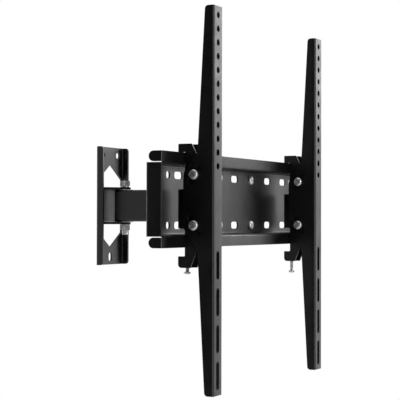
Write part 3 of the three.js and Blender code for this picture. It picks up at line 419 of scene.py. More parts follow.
def channel_outline(side, root, edge, sheet, bend):
    """A folded channel's section, out to side, with its web's outer face at root."""
    web = root + math.copysign(sheet, edge - root)
    return both_sides(
        [
            (side, root, bend + sheet),
            (side, edge),
            (side - sheet, edge),
            (side - sheet, web, bend),
        ]
    )


def fold_outline(top, root, edge, sheet, bend):
    """The same section seen from the side, with its flanges above and below."""
    return [(v, u, *radius) for u, v, *radius in channel_outline(top, root, edge, sheet, bend)]


def crossbar_bolt_holes(radius, middle=0.0):
    """Circles round the four crossbar bolts, with their heights taken from middle."""
    bolts = [Extent(f"crossbar_bolt_{side_name}_{level}") for side_name, level in PLACES]
    return [circle(bolt.centre, bolt.middle - middle, radius) for bolt in bolts]


# ---- Solids --------------------------------------------------------------------------
def prism(corners, low, high, place):
    """An outline carried from low to high; place turns (u, v, w) into the frame's X, Y, Z."""
    points = rounded(corners)
    build = bmesh.new()
    rings = [[build.verts.new(place(p.x, p.y, w)) for p in points] for w in (low, high)]
    for ring in rings:
        build.faces.new(ring)
    for index in range(len(points)):
        after = (index + 1) % len(points)
        build.faces.new((rings[0][index], rings[0][after], rings[1][after], rings[1][index]))
    return as_mesh(build)


def as_mesh(build):
    bmesh.ops.recalc_face_normals(build, faces=build.faces)
    mesh = bpy.data.meshes.new("solid")
    build.to_mesh(mesh)
    build.free()
    return mesh


def front_prism(corners, reach_from, reach_to):
    """An [x, z] outline between two reaches."""
    return prism(corners, reach_from, reach_to, lambda u, v, w: (u, -w, v))


def side_prism(corners, x_from, x_to):
    """A [reach, z] outline between two places along the wall."""
    return prism(corners, x_from, x_to, lambda u, v, w: (w, -u, v))


def plan_prism(corners, z_from, z_to):
    """An [x, reach] outline between two heights."""
    return prism(corners, z_from, z_to, lambda u, v, w: (u, -v, w))


def gathered(meshes):
    """Several meshes as one, without joining their surfaces."""
    build = bmesh.new()
    for mesh in meshes:
        build.from_mesh(mesh)
        bpy.data.meshes.remove(mesh)
    return as_mesh(build)


def worked(mesh, tools, operation):
    """mesh cut by, joined to or limited to tools, with Blender's exact boolean."""
    stock = bpy.data.objects.new("stock", mesh)
    tool = bpy.data.objects.new("tool", gathered(tools))
    for item in (stock, tool):
        bpy.context.scene.collection.objects.link(item)
    modifier = stock.modifiers.new("work", "BOOLEAN")
    modifier.operation = operation
    modifier.solver = "EXACT"
    modifier.object = tool
    shaped = stock.evaluated_get(bpy.context.evaluated_depsgraph_get())
    result = bpy.data.meshes.new_from_object(shaped)
    for item in (stock, tool):
        data = item.data
        bpy.data.objects.remove(item)
        bpy.data.meshes.remove(data)
    if not result.polygons:
        raise RuntimeError(f"{operation.lower()} left nothing")
    return result


def cut(mesh, tools):
    return worked(mesh, tools, "DIFFERENCE")


def join(mesh, tools):
    return worked(mesh, tools, "UNION")


def limit(mesh, tool):
    return worked(mesh, [tool], "INTERSECT")


def moved(mesh, x=0.0, reach=0.0, z=0.0):
    mesh.transform(Matrix.Translation((x, -reach, z)))
    return mesh


MERGE_WITHIN = 0.002
FLAT_WITHIN = math.radians(0.2)


def cleaned(mesh):
    """Merges doubled points and the needless edges that cutting leaves on flat faces."""
    build = bmesh.new()
    build.from_mesh(mesh)
    bmesh.ops.remove_doubles(build, verts=build.verts, dist=MERGE_WITHIN)
    bmesh.ops.dissolve_limit(
        build, angle_limit=FLAT_WITHIN, verts=build.verts, edges=build.edges
    )
    bpy.data.meshes.remove(mesh)
    return as_mesh(build)


# ---- Turned shapes -------------------------------------------------------------------
TURN_STEPS = 36
THREAD_STEPS = 6  # rings in one turn of a thread
THREAD_DEPTH = 0.5  # against the pitch
THREAD_PLAY = 0.1  # a nut's bore beyond its bolt
PIVOT_THREAD = 16.0
SMALL_THREAD = 14.0
HEX_CHAMFER = math.tan(math.radians(30))
HEX_CROWN = 0.96  # this and the next four are against half the width across flats
DISH_RIM = 0.80
DISH_FLOOR = 0.77
FACE_FOOT = 0.94
FACE_TOP = 0.95
DISH_DEPTH = 0.12
FACE_HEIGHT = 0.35  # washer face under a bolt's head
NUT_MOUTH = 0.55  # chamfer inside a nut's mouths
PAN_STEPS = 6
PAN_SIDE = 0.40  # height of a pan head's straight side, against its height
PAN_CROWN = 0.42  # flat crown, against the head's radius
RECESS_ARM = 0.52  # cross recess's arms and half widths, against the head's radius
RECESS_HALF = 0.12
RECESS_DEPTH = 0.62  # against the head's height
RECESS_ROUND = 0.15
RECESS_TAPER = 0.6  # size of the recess's floor against its mouth


def turned(rings, loop=False):
    """A surface through rings of (radius, height); either may depend on the turn's angle."""
    build = bmesh.new()
    rows = []
    for radius, height in rings:
        row = []
        for step in range(TURN_STEPS):
            turn = 2 * math.pi * step / TURN_STEPS
            r = radius(turn) if callable(radius) else radius
            h = height(turn) if callable(height) else height
            row.append(build.verts.new((r * math.cos(turn), r * math.sin(turn), h)))
        rows.append(row)
    pairs = list(zip(rows, rows[1:]))
    if loop:
        pairs.append((rows[-1], rows[0]))
    else:
        build.faces.new(rows[0])
        build.faces.new(rows[-1])
    for lower, upper in pairs:
        for index in range(TURN_STEPS):
            after = (index + 1) % TURN_STEPS
            build.faces.new((lower[index], lower[after], upper[after], upper[index]))
    return as_mesh(build)


def hex_radius(across_flats):
    """Radius of a hexagon at each angle; two of its flats face along X."""
    flat = across_flats / 2
    sector = math.pi / 3

    def radius(turn):
        offset = (turn + sector / 2) % sector - sector / 2
        return flat / math.cos(offset)

    return radius


def hex_rim(across_flats, top, sign):
    """Height of a hexagon's rim where its corners are turned off at 30 degrees."""
    radius = hex_radius(across_flats)
    start = across_flats / 2 * HEX_CROWN
    return lambda turn: top - sign * (radius(turn) - start) * HEX_CHAMFER


def thread_rings(radius, top, bottom, pitch):
    """Rings down a threaded stretch, from top to bottom, with the thread's lead in them."""
    depth = pitch * THREAD_DEPTH
    count = max(2, round((top - bottom) / pitch * THREAD_STEPS))
    rings = []
    for index in range(count + 1):
        height = top + (bottom - top) * index / count
        taper = min(1.0, 0.35 + (height - bottom) / pitch * 0.6)

        def groove(turn, height=height, taper=taper):
            share = (height / pitch - turn / (2 * math.pi)) % 1.0
            return radius - depth * (1 - taper) - depth * taper * abs(2 * share - 1)

        rings.append((groove, height))
    return rings


def bolt_rings(radius, shank, pitch, thread):
    """Tip to underside of the head: thread, its run-out, then plain shank."""
    start = min(-shank + thread, -pitch)
    rings = thread_rings(radius, start, -shank, pitch)[::-1]
    tip = rings[0][0]
    rings.insert(0, (lambda turn: tip(turn) * 0.82, -shank))
    rings.append((radius * 0.93, start + 0.05))
    rings.append((radius, start + 0.4))
    rings.append((radius, -0.02))
    return rings


def hex_bolt(radius, shank, pitch, thread, across_flats, head):
    """A hexagon-headed bolt standing on z = 0, with a turned washer face under its head."""
    flat = across_flats / 2
    hexagon = hex_radius(across_flats)
    rings = bolt_rings(radius, shank, pitch, thread)
    rings += [
        (radius, 0.0),
        (flat * FACE_FOOT, 0.0),
        (flat * FACE_TOP, FACE_HEIGHT),
        (hexagon, FACE_HEIGHT),
        (hexagon, hex_rim(across_flats, head, 1)),
        (flat * HEX_CROWN, head),
        (flat * DISH_RIM, head),
        (flat * DISH_FLOOR, head - DISH_DEPTH),
    ]
    return turned(rings)


def hex_nut(bore, across_flats, height):
    """A nut from z = 0 to its height, chamfered on both faces and inside both mouths."""
    hexagon = hex_radius(across_flats)
    flat = across_flats / 2 * HEX_CROWN
    rings = [
        (bore, NUT_MOUTH),
        (bore, height - NUT_MOUTH),
        (bore + NUT_MOUTH, height),
        (flat, height),
        (hexagon, hex_rim(across_flats, height, 1)),
        (hexagon, hex_rim(across_flats, 0.0, -1)),
        (flat, 0.0),
        (bore + NUT_MOUTH, 0.0),
    ]
    return turned(rings, loop=True)


def ring_solid(bore, outside, height, edge=0.2):
    """A washer, spacer or flange with its four rims broken."""
    rings = [
        (bore, edge),
        (bore, height - edge),
        (bore + edge, height),
        (outside - edge, height),
        (outside - edge * 0.3, height - edge * 0.3),
        (outside, height - edge),
        (outside, edge),
        (outside - edge * 0.3, edge * 0.3),
        (outside - edge, 0.0),
        (bore + edge, 0.0),
    ]
    return turned(rings, loop=True)


def pan_screw(radius, shank, pitch, thread, head_radius, head):
    """A pan-headed screw standing on z = 0, with a cross recess."""
    rings = bolt_rings(radius, shank, pitch, thread)
    rings += [(radius, 0.0), (head_radius * 0.97, 0.0), (head_radius, head * 0.06)]
    rings.append((head_radius, head * PAN_SIDE))
    for step in range(1, PAN_STEPS + 1):
        share = step / PAN_STEPS * math.pi / 2
        lift = head * (PAN_SIDE + (1 - PAN_SIDE) * math.sin(share))
        rings.append((head_radius * (PAN_CROWN + (1 - PAN_CROWN) * math.cos(share)), lift))
    arm, half = head_radius * RECESS_ARM, head_radius * RECESS_HALF
    depth = head * RECESS_DEPTH
    cross, quarter = [], [(arm, -half), (arm, half), (half, half, RECESS_ROUND)]
    for _ in range(4):
        cross += quarter
        quarter = [(-v, u, *radius) for u, v, *radius in quarter]
    recess = prism(cross, head - depth, head + OVERRUN, lambda u, v, w: (u, v, w))
    for vertex in recess.vertices:
        if vertex.co.z < head - depth / 2:
            vertex.co.x *= RECESS_TAPER
            vertex.co.y *= RECESS_TAPER
    return cut(turned(rings), [recess])


def stood(mesh, node, right, up, out, lead):
    """Puts a fastener on its node's own axis. lead is how far it runs ahead of z = 0."""
    low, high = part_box(node)
    middle = (low + high) / 2 / MM
    half = abs(Vector(out).dot((high - low) / 2)) / MM
    origin = middle + Vector(out) * (half - lead)
    matrix = Matrix((right, up, out)).transposed().to_4x4()
    matrix.translation = origin
    mesh.transform(matrix)
    return mesh


ALONG_X, ALONG_Y, ALONG_Z = Vector((1, 0, 0)), Vector((0, 1, 0)), Vector((0, 0, 1))
UPRIGHT = (ALONG_X, ALONG_Y, ALONG_Z)
OUTWARDS = (ALONG_X, ALONG_Z, -ALONG_Y)
TO_THE_LEFT = (ALONG_Y, -ALONG_Z, -ALONG_X)
DOWNWARDS = (ALONG_X, -ALONG_Y, -ALONG_Z)


def spun(mesh, degrees):
    """Turns a fastener about its own axis, as each one stops where it is tight."""
    mesh.transform(Matrix.Rotation(math.radians(degrees), 4, "Z"))
    return mesh


# ---- Pieces --------------------------------------------------------------------------
SMOOTH_UP_TO = math.radians(32)
BREAK_FROM = math.radians(35)  # edges sharper than this are broken


def body_of(node):
    return frame["nodes"][node]["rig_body"]


def piece(node, mesh, finish, edge):
    """Makes mesh a piece that stands for its frame node and rides on the node's body."""
    mesh.transform(Matrix.Scale(MM, 4))
    mesh.shade_smooth()
    mesh.set_sharp_from_angle(angle=SMOOTH_UP_TO)
    mesh.materials.clear()
    mesh.materials.append(finish)
    mesh.name = f"{node}_detail"
    item = bpy.data.objects.new(f"{node}_detail", mesh)
    bpy.context.scene.collection.objects.link(item)
    if edge:
        bevel = item.modifiers.new("edge break", "BEVEL")
        bevel.width = edge
        bevel.segments = 2
        bevel.limit_method = "ANGLE"
        bevel.angle_limit = BREAK_FROM
        bevel.use_clamp_overlap = True
        bevel.harden_normals = True
        bevel.miter_outer = "MITER_ARC"
    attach(item, body_of(node))
    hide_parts(node)
    return item


# ---- Finishes ------------------------------------------------------------------------
class Finish:
    """A node-based material under construction."""

    def __init__(self, name):
        self.material = bpy.data.materials.new(name)
        self.material.use_nodes = True
        self.tree = self.material.node_tree
        self.shader = self.tree.nodes["Principled BSDF"]
        self.place = self.tree.nodes.new("ShaderNodeTexCoord").outputs["Object"]

    def node(self, kind, links=(), **values):
        made = self.tree.nodes.new(kind)
        for key, value in values.items():
            setattr(made, key, value)
        for socket, source in links:
            self.feed(made.inputs[socket], source)
        return made

    def feed(self, socket, source):
        if isinstance(source, bpy.types.NodeSocket):
            self.tree.links.new(source, socket)
        else:
            socket.default_value = source

    def noise(self, scale, detail=3.0, stretch=None):
        place = self.place
        if stretch:
            mapping = self.node("ShaderNodeMapping", [("Vector", place)])
            mapping.inputs["Scale"].default_value = stretch
            place = mapping.outputs["Vector"]
        made = self.node(
            "ShaderNodeTexNoise",
            [("Vector", place), ("Scale", scale), ("Detail", detail)],
        )
        return made.outputs["Fac"]

    def spread(self, source, low_in, high_in, low, high):
        made = self.node(
            "ShaderNodeMapRange",
            [
                ("Value", source),
                ("From Min", low_in),
                ("From Max", high_in),
                ("To Min", low),
                ("To Max", high),
            ],
            interpolation_type="SMOOTHSTEP",
        )
        return made.outputs["Result"]

    def product(self, a, b):
        return self.node("ShaderNodeMath", [(0, a), (1, b)], operation="MULTIPLY").outputs[0]

    def mixed(self, share, first, second):
        made = self.node("ShaderNodeMix", data_type="RGBA")
        self.feed(made.inputs[0], share)
        self.feed(made.inputs[6], first)
        self.feed(made.inputs[7], second)
        return made.outputs[2]

    def edges(self, radius):
        """1 on an edge of the shape, 0 on its flats, found within radius metres."""
        softened = self.node("ShaderNodeBevel", [("Radius", radius)], samples=4)
        true = self.node("ShaderNodeNewGeometry")
        likeness = self.node(
            "ShaderNodeVectorMath",
            [(0, softened.outputs["Normal"]), (1, true.outputs["Normal"])],
            operation="DOT_PRODUCT",
        )
        return self.spread(likeness.outputs["Value"], 0.98, 0.80, 0.0, 1.0)

    def bump(self, layers):
        """Chains (height, distance in metres, strength) layers into the shader's normal."""
        normal = None
        for height, distance, strength in layers:
            made = self.node(
                "ShaderNodeBump",
                [("Height", height), ("Distance", distance), ("Strength", strength)],
            )
            if normal:
                self.tree.links.new(normal, made.inputs["Normal"])
            normal = made.outputs["Normal"]
        self.feed(self.shader.inputs["Normal"], normal)

    def set(self, **values):
        for name, value in values.items():
            self.feed(self.shader.inputs[name.replace("_", " ")], value)


def rgba(value, gain=1.0):
    return (*[min(1.0, part * gain) for part in value], 1.0)


def powder_coat(name, base):
    """Semi-gloss black powder coat: orange peel, faint mottling, rubbed edges and dust."""
    look = bpy.context.scene.mount_finishes
    finish = Finish(name)
    mottle = finish.noise(38.0, 4.0)
    peel = finish.noise(1100.0, 2.0)
    dust = finish.noise(2600.0, 1.0)
    rubbed = finish.product(finish.edges(0.0006), finish.spread(mottle, 0.42, 0.66, 0.15, 0.8))
    plain = finish.mixed(mottle, rgba(base, 0.8), rgba(base, 1.25))
    finish.set(
        Base_Color=finish.mixed(rubbed, plain, rgba(look.coat_worn)),
        Roughness=finish.spread(mottle, 0.3, 0.7, look.coat_gloss - 0.05, look.coat_gloss + 0.06),
        Metallic=0.0,
        IOR=1.5,
    )
    finish.bump([(peel, 0.00003, 0.22), (dust, 0.00001, 0.12)])
    return finish.material


def zinc_plate():
    """Bright zinc plate: soft clouding, fine turning marks and polished edges."""
    look = bpy.context.scene.mount_finishes
    finish = Finish("bright_zinc")
    cloud = finish.noise(260.0, 4.0)
    marks = finish.noise(5200.0, 2.0)
    polish = finish.edges(0.0004)
    dull = finish.mixed(cloud, rgba(look.zinc_dull), rgba(look.zinc))
    finish.set(
        Base_Color=finish.mixed(polish, dull, rgba(look.zinc, 1.12)),
        Roughness=finish.spread(cloud, 0.3, 0.7, 0.24, 0.42),
        Metallic=0.8,
    )
    finish.bump([(marks, 0.00001, 0.2)])
    return finish.material


def natural_nylon():
    """Off-white moulded nylon, slightly translucent, with grey wear on its rims."""
    look = bpy.context.scene.mount_finishes
    finish = Finish("natural_nylon")
    cloud = finish.noise(180.0, 3.0)
    grain = finish.noise(1700.0, 2.0)
    worn = finish.product(finish.edges(0.0005), 0.5)
    plain = finish.mixed(cloud, rgba(look.nylon, 0.93), rgba(look.nylon, 1.04))
    finish.set(
        Base_Color=finish.mixed(worn, plain, rgba(look.nylon, 0.7)),
        Roughness=finish.spread(grain, 0.3, 0.7, 0.44, 0.58),
        Subsurface_Weight=0.12,
        Subsurface_Scale=0.001,
    )
    finish.bump([(grain, 0.00003, 0.2)])
    return finish.material


def moulded_black():
    """Satin black moulding with a fine spark-eroded grain and paler rims."""
    look = bpy.context.scene.mount_finishes
    finish = Finish("moulded_black")
    grain = finish.noise(2100.0, 3.0)
    cloud = finish.noise(90.0, 2.0)
    plain = finish.mixed(cloud, rgba(look.cap, 0.85), rgba(look.cap, 1.2))
    finish.set(
        Base_Color=finish.mixed(finish.product(finish.edges(0.0005), 0.4), plain, rgba(look.coat_worn)),
        Roughness=finish.spread(grain, 0.3, 0.7, 0.5, 0.62),
    )
    finish.bump([(grain, 0.00005, 0.35)])
    return finish.material


def finish_for(slot):
    """The material of a slot, made when it is first asked for."""
    look = bpy.context.scene.mount_finishes
    makers = {
        "coat": ("black_powder_coat", lambda: powder_coat("black_powder_coat", look.coat)),
        # The arm's material is a lighter copy of the powder coat, painted light that stands in for the
        # light on the arm's sides.
        "arm": ("arm_powder_coat", lambda: powder_coat("arm_powder_coat", look.arm_coat)),
        "zinc": ("bright_zinc", zinc_plate),
        "nylon": ("natural_nylon", natural_nylon),
        "cap": ("moulded_black", moulded_black),
    }
    name, make = makers[slot]
    return bpy.data.materials.get(name) or make()


def steel_piece(node, mesh, coat="coat"):
    edge = bpy.context.scene.mount_smoothness.edge_break
    return piece(node, cleaned(mesh), finish_for(coat), edge)


def zinc_piece(node, mesh, edge=0.0):
    return piece(node, mesh, finish_for("zinc"), edge)


# ---- Wall plate ----------------------------------------------------------------------
class MountWallPlate(bpy.types.Operator):
    """Builds the flanged wall plate with its two bent-out pivot tabs"""

    bl_idname = "mount.wall_plate"
    bl_label = "Wall Plate"

    def execute(self, context):
        s = sizes("mount_plate")
        plate = Extent("wall_plate")
        side, top = plate.right, plate.top
        pivot = Extent("wall_pivot_bolt").along
        tip = pivot + s.tab_nose
        over = s.tab_under + s.sheet
        section = channel_outline(side, 0, s.flange, s.sheet, s.bend)
        channel = plan_prism(section, -top, top)
        outline = both_levels([(s.flange, top, s.corner), (-OVERRUN, top)])
        profile = side_prism(outline, -side - OVERRUN, side + OVERRUN)
        shell = cut(limit(channel, profile), self.openings(s, top, over, tip))
        steel_piece("wall_plate", join(shell, [self.tabs(s, over, tip, pivot)]))
        return {"FINISHED"}

    def openings(self, s, top, over, tip):
        """The windows that the tabs leave, and the three screw slots."""
        half = s.tab_width / 2
        window = [
            (-half, over - s.bend - s.sheet),
            (half, over - s.bend - s.sheet),
            (half, over + s.tab_shoulder - s.sheet),
            (0, over + tip - s.sheet, s.tab_round),
            (-half, over + s.tab_shoulder - s.sheet),
        ]
        lag_z, low_z = top - s.lag_drop, -top + s.low_rise
        outlines = [
            window,
            upside_down(window),
            slot_outline(-s.lag_offset, lag_z, s.lag_width, s.lag_height),
            slot_outline(s.lag_offset, lag_z, s.lag_width, s.lag_height),
            slot_outline(0, low_z, s.low_width, s.low_height),
        ]
        return [front_prism(outline, -OVERRUN, s.sheet + OVERRUN) for outline in outlines]

    def tabs(self, s, over, tip, pivot):
        """Both tabs and the strip of web between them, with the bends at their roots."""
        half = s.tab_width / 2
        section = fold_outline(over, 0, tip + OVERRUN, s.sheet, s.bend)
        fold = side_prism(section, -half, half)
        outline = plan_prism(
            [
                (-half, -OVERRUN),
                (half, -OVERRUN),
                (half, s.tab_shoulder),
                (0, tip, s.tab_round),
                (-half, s.tab_shoulder),
            ],
            -over - OVERRUN,
            over + OVERRUN,
        )
        hole = plan_prism(circle(0, pivot, s.pivot_hole), -over - OVERRUN, over + OVERRUN)
        return cut(limit(fold, outline), [hole])


# ---- Arm -----------------------------------------------------------------------------
class MountSwingArm(bpy.types.Operator):
    """Builds the arm's rectangular tube with its clevis ears, and the moulded end cap"""

    bl_idname = "mount.swing_arm"
    bl_label = "Swing Arm"

    def execute(self, context):
        s = sizes("mount_arm")
        arm = Extent("swing_arm")
        side, top = arm.right, arm.top
        wall_pivot = Extent("wall_pivot_bolt").along
        head_pivot = Extent("head_pivot_bolt").along
        inside, under = side - s.wall, top - s.wall
        past = arm.front + OVERRUN
        over = top + OVERRUN
        tube = front_prism(rectangle(-side, side, -top, top, s.edge), arm.rear, arm.front)
        nose = s.ear_radius - HAIR
        plan = plan_prism(both_sides([(side, arm.rear), (side, arm.front, nose)]), -over, over)
        hollow = front_prism(
            rectangle(-inside, inside, -under, under, s.edge - s.wall),
            arm.rear - OVERRUN,
            past,
        )
        mouth = plan_prism(
            rectangle(-side - OVERRUN, side + OVERRUN, head_pivot - s.ear_clear, past),
            -under,
            under,
        )
        tube = cut(cut(limit(tube, plan), [hollow]), [mouth])
        holes = [
            plan_prism(circle(0, reach, s.bush_hole), -over, over)
            for reach in (wall_pivot, head_pivot)
        ]
        # The arm takes the lighter copy of the powder coat, painted light for its brighter sides.
        steel_piece("swing_arm", cut(tube, holes), "arm")
        self.end_cap(s, side, top)
        return {"FINISHED"}

    def end_cap(self, s, side, top):
        cap = Extent("arm_end_cap")
        face_front = cap.rear + s.cap
        crown = s.cap * 0.8
        face = front_prism(rectangle(-side, side, -top, top, s.edge), cap.rear, face_front)
        outline = both_sides([(side, cap.rear, crown), (side, face_front)])
        rounded_back = plan_prism(outline, -top - OVERRUN, top + OVERRUN)
        outer = side - s.wall - s.tongue_gap
        inner = outer - s.tongue
        height = top - s.wall - s.tongue_drop
        tongues = [
            front_prism(rectangle(low, high, -height, height), face_front - 0.5, cap.front)
            for low, high in ((inner, outer), (-outer, -inner))
        ]
        mesh = join(limit(face, rounded_back), tongues)
        bead = bpy.context.scene.mount_smoothness.bead
        piece("arm_end_cap", cleaned(mesh), finish_for("cap"), bead)


# ---- Bushes and pivot fasteners ------------------------------------------------------
class MountBushes(bpy.types.Operator):
    """Builds the four flanged nylon bushes that line the arm's pivot holes"""

    bl_idname = "mount.bushes"
    bl_label = "Pivot Bushes"

    def execute(self, context):
        s = sizes("mount_fasteners")
        bore = s.pivot_radius + s.bore_gap
        for end, flange_outside in (("wall", True), ("head", False)):
            for level in ("top", "bottom"):
                node = f"{end}_bush_{level}"
                mesh = self.bush(node, s, bore)
                out = ALONG_Z if (level == "top") == flange_outside else -ALONG_Z
                right = ALONG_X if out == ALONG_Z else -ALONG_X
                stood(mesh, node, right, ALONG_Y, out, 0.0)
                piece(node, mesh, finish_for("nylon"), 0.0)
        return {"FINISHED"}

    def bush(self, node, s, bore):
        """Barrel below, flange above, the flange's outer face at z = 0."""
        box = Extent(node)
        flange_radius = box.width / 2
        bottom = -box.height
        step = -s.bush_flange
        edge = 0.2
        rings = [
            (bore, bottom + edge),
            (bore, -edge),
            (bore + edge, 0.0),
            (flange_radius - edge, 0.0),
            (flange_radius, -edge),
            (flange_radius, step + edge),
            (flange_radius - edge, step),
            (s.bush_barrel, step),
            (s.bush_barrel, bottom + edge),
            (s.bush_barrel - edge, bottom),
            (bore + edge, bottom),
        ]
        return turned(rings, loop=True)


class MountPivotFasteners(bpy.types.Operator):
    """Builds the hexagon bolt, nut and two washers of each pivot"""

    bl_idname = "mount.pivot_fasteners"
    bl_label = "Pivot Fasteners"

    def execute(self, context):
        s = sizes("mount_fasteners")
        for pivot in ("wall_pivot", "head_pivot"):
            self.bolt(f"{pivot}_bolt", s)
            self.nut(f"{pivot}_nut", s)
            for level in ("top", "bottom"):
                self.washer(f"{pivot}_washer_{level}", s)
        return {"FINISHED"}

    def bolt(self, node, s):
        shank = Extent(node).height - s.pivot_head
        mesh = hex_bolt(
            s.pivot_radius, shank, s.pivot_pitch, PIVOT_THREAD, s.pivot_hex, s.pivot_head
        )
        zinc_piece(node, stood(mesh, node, *UPRIGHT, s.pivot_head))

    def nut(self, node, s):
        height = Extent(node).height
        mesh = hex_nut(s.pivot_radius + THREAD_PLAY, s.pivot_hex, height)
        zinc_piece(node, stood(mesh, node, *UPRIGHT, height))

    def washer(self, node, s):
        box = Extent(node)
        mesh = ring_solid(s.pivot_radius + 2 * s.bore_gap, box.width / 2, box.height)
        zinc_piece(node, stood(mesh, node, *UPRIGHT, box.height))


# ---- Head bracket --------------------------------------------------------------------
class MountHeadBracket(bpy.types.Operator):
    """Builds the folded H-shaped bracket that joins the crossbar to the arm"""

    bl_idname = "mount.head_bracket"
    bl_label = "Head Bracket"

    def execute(self, context):
        s = sizes("mount_head")
        head = Extent("head_bracket")
        side, front = head.right, head.front
        rear = front - s.sheet
        notch = s.notch / 2
        waist = s.tab_over - s.sheet - s.bend
        corner, root = s.corner, s.notch_round
        outline = both_sides(
            [
                (notch, -waist, root),
                (notch, head.bottom, corner),
                (side, head.bottom, corner),
                (side, head.top, corner),
                (notch, head.top, corner),
                (notch, waist, root),
            ]
        )
        plate = front_prism(outline, rear, front)
        pivot = Extent("head_pivot_bolt").along
        tabs = self.tabs(s, head.rear, rear, front, pivot)
        past = head.top + OVERRUN
        holes = [plan_prism(circle(0, pivot, sizes("mount_plate").pivot_hole), -past, past)]
        for outline in crossbar_bolt_holes(s.bolt_hole):
            holes.append(front_prism(outline, rear - OVERRUN, front + OVERRUN))
        steel_piece("head_bracket", cut(join(plate, [tabs]), holes))
        return {"FINISHED"}

    def tabs(self, s, end, rear, front, pivot):
        half = s.tab_width / 2
        section = fold_outline(s.tab_over, front, end - OVERRUN, s.sheet, s.bend)
        fold = side_prism(section, -half, half)
        nose = pivot - end
        outline = both_sides(
            [
                (nose, end, nose - HAIR),
                (nose, pivot),
                (half, rear - s.tab_straight),
                (half, front + OVERRUN),
            ]
        )
        past = s.tab_over + OVERRUN
        return limit(fold, plan_prism(outline, -past, past))


# ---- Crossbar ------------------------------------------------------------------------
SLOT_PLACES = (-3, -2, 0, 2, 3)  # in pitches from the middle
LEDGE_SLOT_PLACES = (-3.5, -2.5, -1.5, -0.5, 0.5, 1.5, 2.5, 3.5)


class MountCrossbar(bpy.types.Operator):
    """Builds the slotted crossbar, a shallow pressed box with lips and bent-back ears"""

    bl_idname = "mount.crossbar"
    bl_label = "Crossbar"

    def execute(self, context):
        s = sizes("mount_rail")
        rail = Extent("crossbar")
        end, rear, front = rail.right, rail.rear, rail.front
        lip_top = rail.height / 2
        ledge = lip_top - s.lip
        ledge_in = ledge - s.sheet
        web, lip_back = rear + s.sheet, front - s.sheet
        bend_out = s.bend + s.sheet
        half_section = [
            (web, ledge_in, s.bend),
            (front, ledge_in, bend_out),
            (front, lip_top),
            (lip_back, lip_top),
            (lip_back, ledge, s.bend),
            (rear, ledge, bend_out),
        ]
        section = side_prism(both_levels(half_section), -end, end)
        ear = [
            (front, ledge + s.ear_slit),
            (front, lip_top),
            (front - s.ear_depth, lip_top, s.ear_round),
            (front - s.ear_depth, ledge + s.ear_slit, s.ear_round),
        ]
        flange = rectangle(rear, front - s.sheet / 2, -ledge, ledge)
        slit = rectangle(rear - OVERRUN, front + OVERRUN, ledge, ledge + s.ear_slit)

        def at_both_ends(outlines, width):
            places = [(-end, -end + width), (end - width, end)]
            return [side_prism(o, low, high) for o in outlines for low, high in places]

        body = join(section, at_both_ends([ear, upside_down(ear), flange], s.sheet))
        over = lip_top + OVERRUN
        body = limit(body, plan_prism(rectangle(-end, end, rear, front, s.corner), -over, over))
        body = cut(body, at_both_ends([slit, upside_down(slit)], bend_out))
        body = cut(body, self.web_slots(s, rear, web, rail.middle))
        body = cut(body, self.ledge_slots(s, (web + lip_back) / 2, ledge_in, ledge))
        steel_piece("crossbar", moved(body, z=rail.middle))
        return {"FINISHED"}

    def web_slots(self, s, rear, web, middle):
        outlines = []
        for row in (-s.slot_row, s.slot_row):
            for place in SLOT_PLACES:
                x = place * s.slot_pitch
                outlines.append(slot_outline(x, row, s.slot_width, s.slot_height, s.slot_round))
            for x in (-s.end_offset, s.end_offset):
                outlines.append(slot_outline(x, row, s.end_width, s.slot_height, s.slot_round))
        outlines += crossbar_bolt_holes(sizes("mount_head").bolt_hole, middle)
        return [front_prism(outline, rear - OVERRUN, web + OVERRUN) for outline in outlines]

    def ledge_slots(self, s, reach, ledge_in, ledge):
        """Slots through both ledges, staggered between the web's slots."""
        slots = []
        for place in LEDGE_SLOT_PLACES:
            x = place * s.slot_pitch
            outline = slot_outline(x, reach, s.slot_width, s.ledge_slot_depth, s.slot_round)
            for low, high in ((ledge_in, ledge), (-ledge, -ledge_in)):
                slots.append(plan_prism(outline, low - OVERRUN, high + OVERRUN))
        return slots


class MountCrossbarFasteners(bpy.types.Operator):
    """Builds the four screws and nuts that hold the crossbar to the head bracket"""

    bl_idname = "mount.crossbar_fasteners"
    bl_label = "Crossbar Fasteners"
    FIRST_TURN = 34  # degrees, of the bolts about their own axes
    NEXT_TURN = 34

    def execute(self, context):
        s = sizes("mount_fasteners")
        for count, (side_name, level) in enumerate(PLACES):
            bolt = f"crossbar_bolt_{side_name}_{level}"
            box = Extent(bolt)
            turn = self.FIRST_TURN + count * self.NEXT_TURN
            mesh = small_bolt(s, box.depth, box.width / 2, turn)
            zinc_piece(bolt, stood(mesh, bolt, *OUTWARDS, s.small_head))
            nut = f"crossbar_nut_{side_name}_{level}"
            height = Extent(nut).depth
            mesh = hex_nut(s.small_radius + THREAD_PLAY, s.small_hex, height)
            zinc_piece(nut, stood(mesh, nut, *OUTWARDS, height))
        return {"FINISHED"}


def small_bolt(s, length, head_radius, turn):
    """A pan-headed bolt of the given whole length, turned about its own axis."""
    shank = length - s.small_head
    thread = min(shank - 1, SMALL_THREAD)
    mesh = pan_screw(s.small_radius, shank, s.small_pitch, thread, head_radius, s.small_head)
    return spun(mesh, turn)


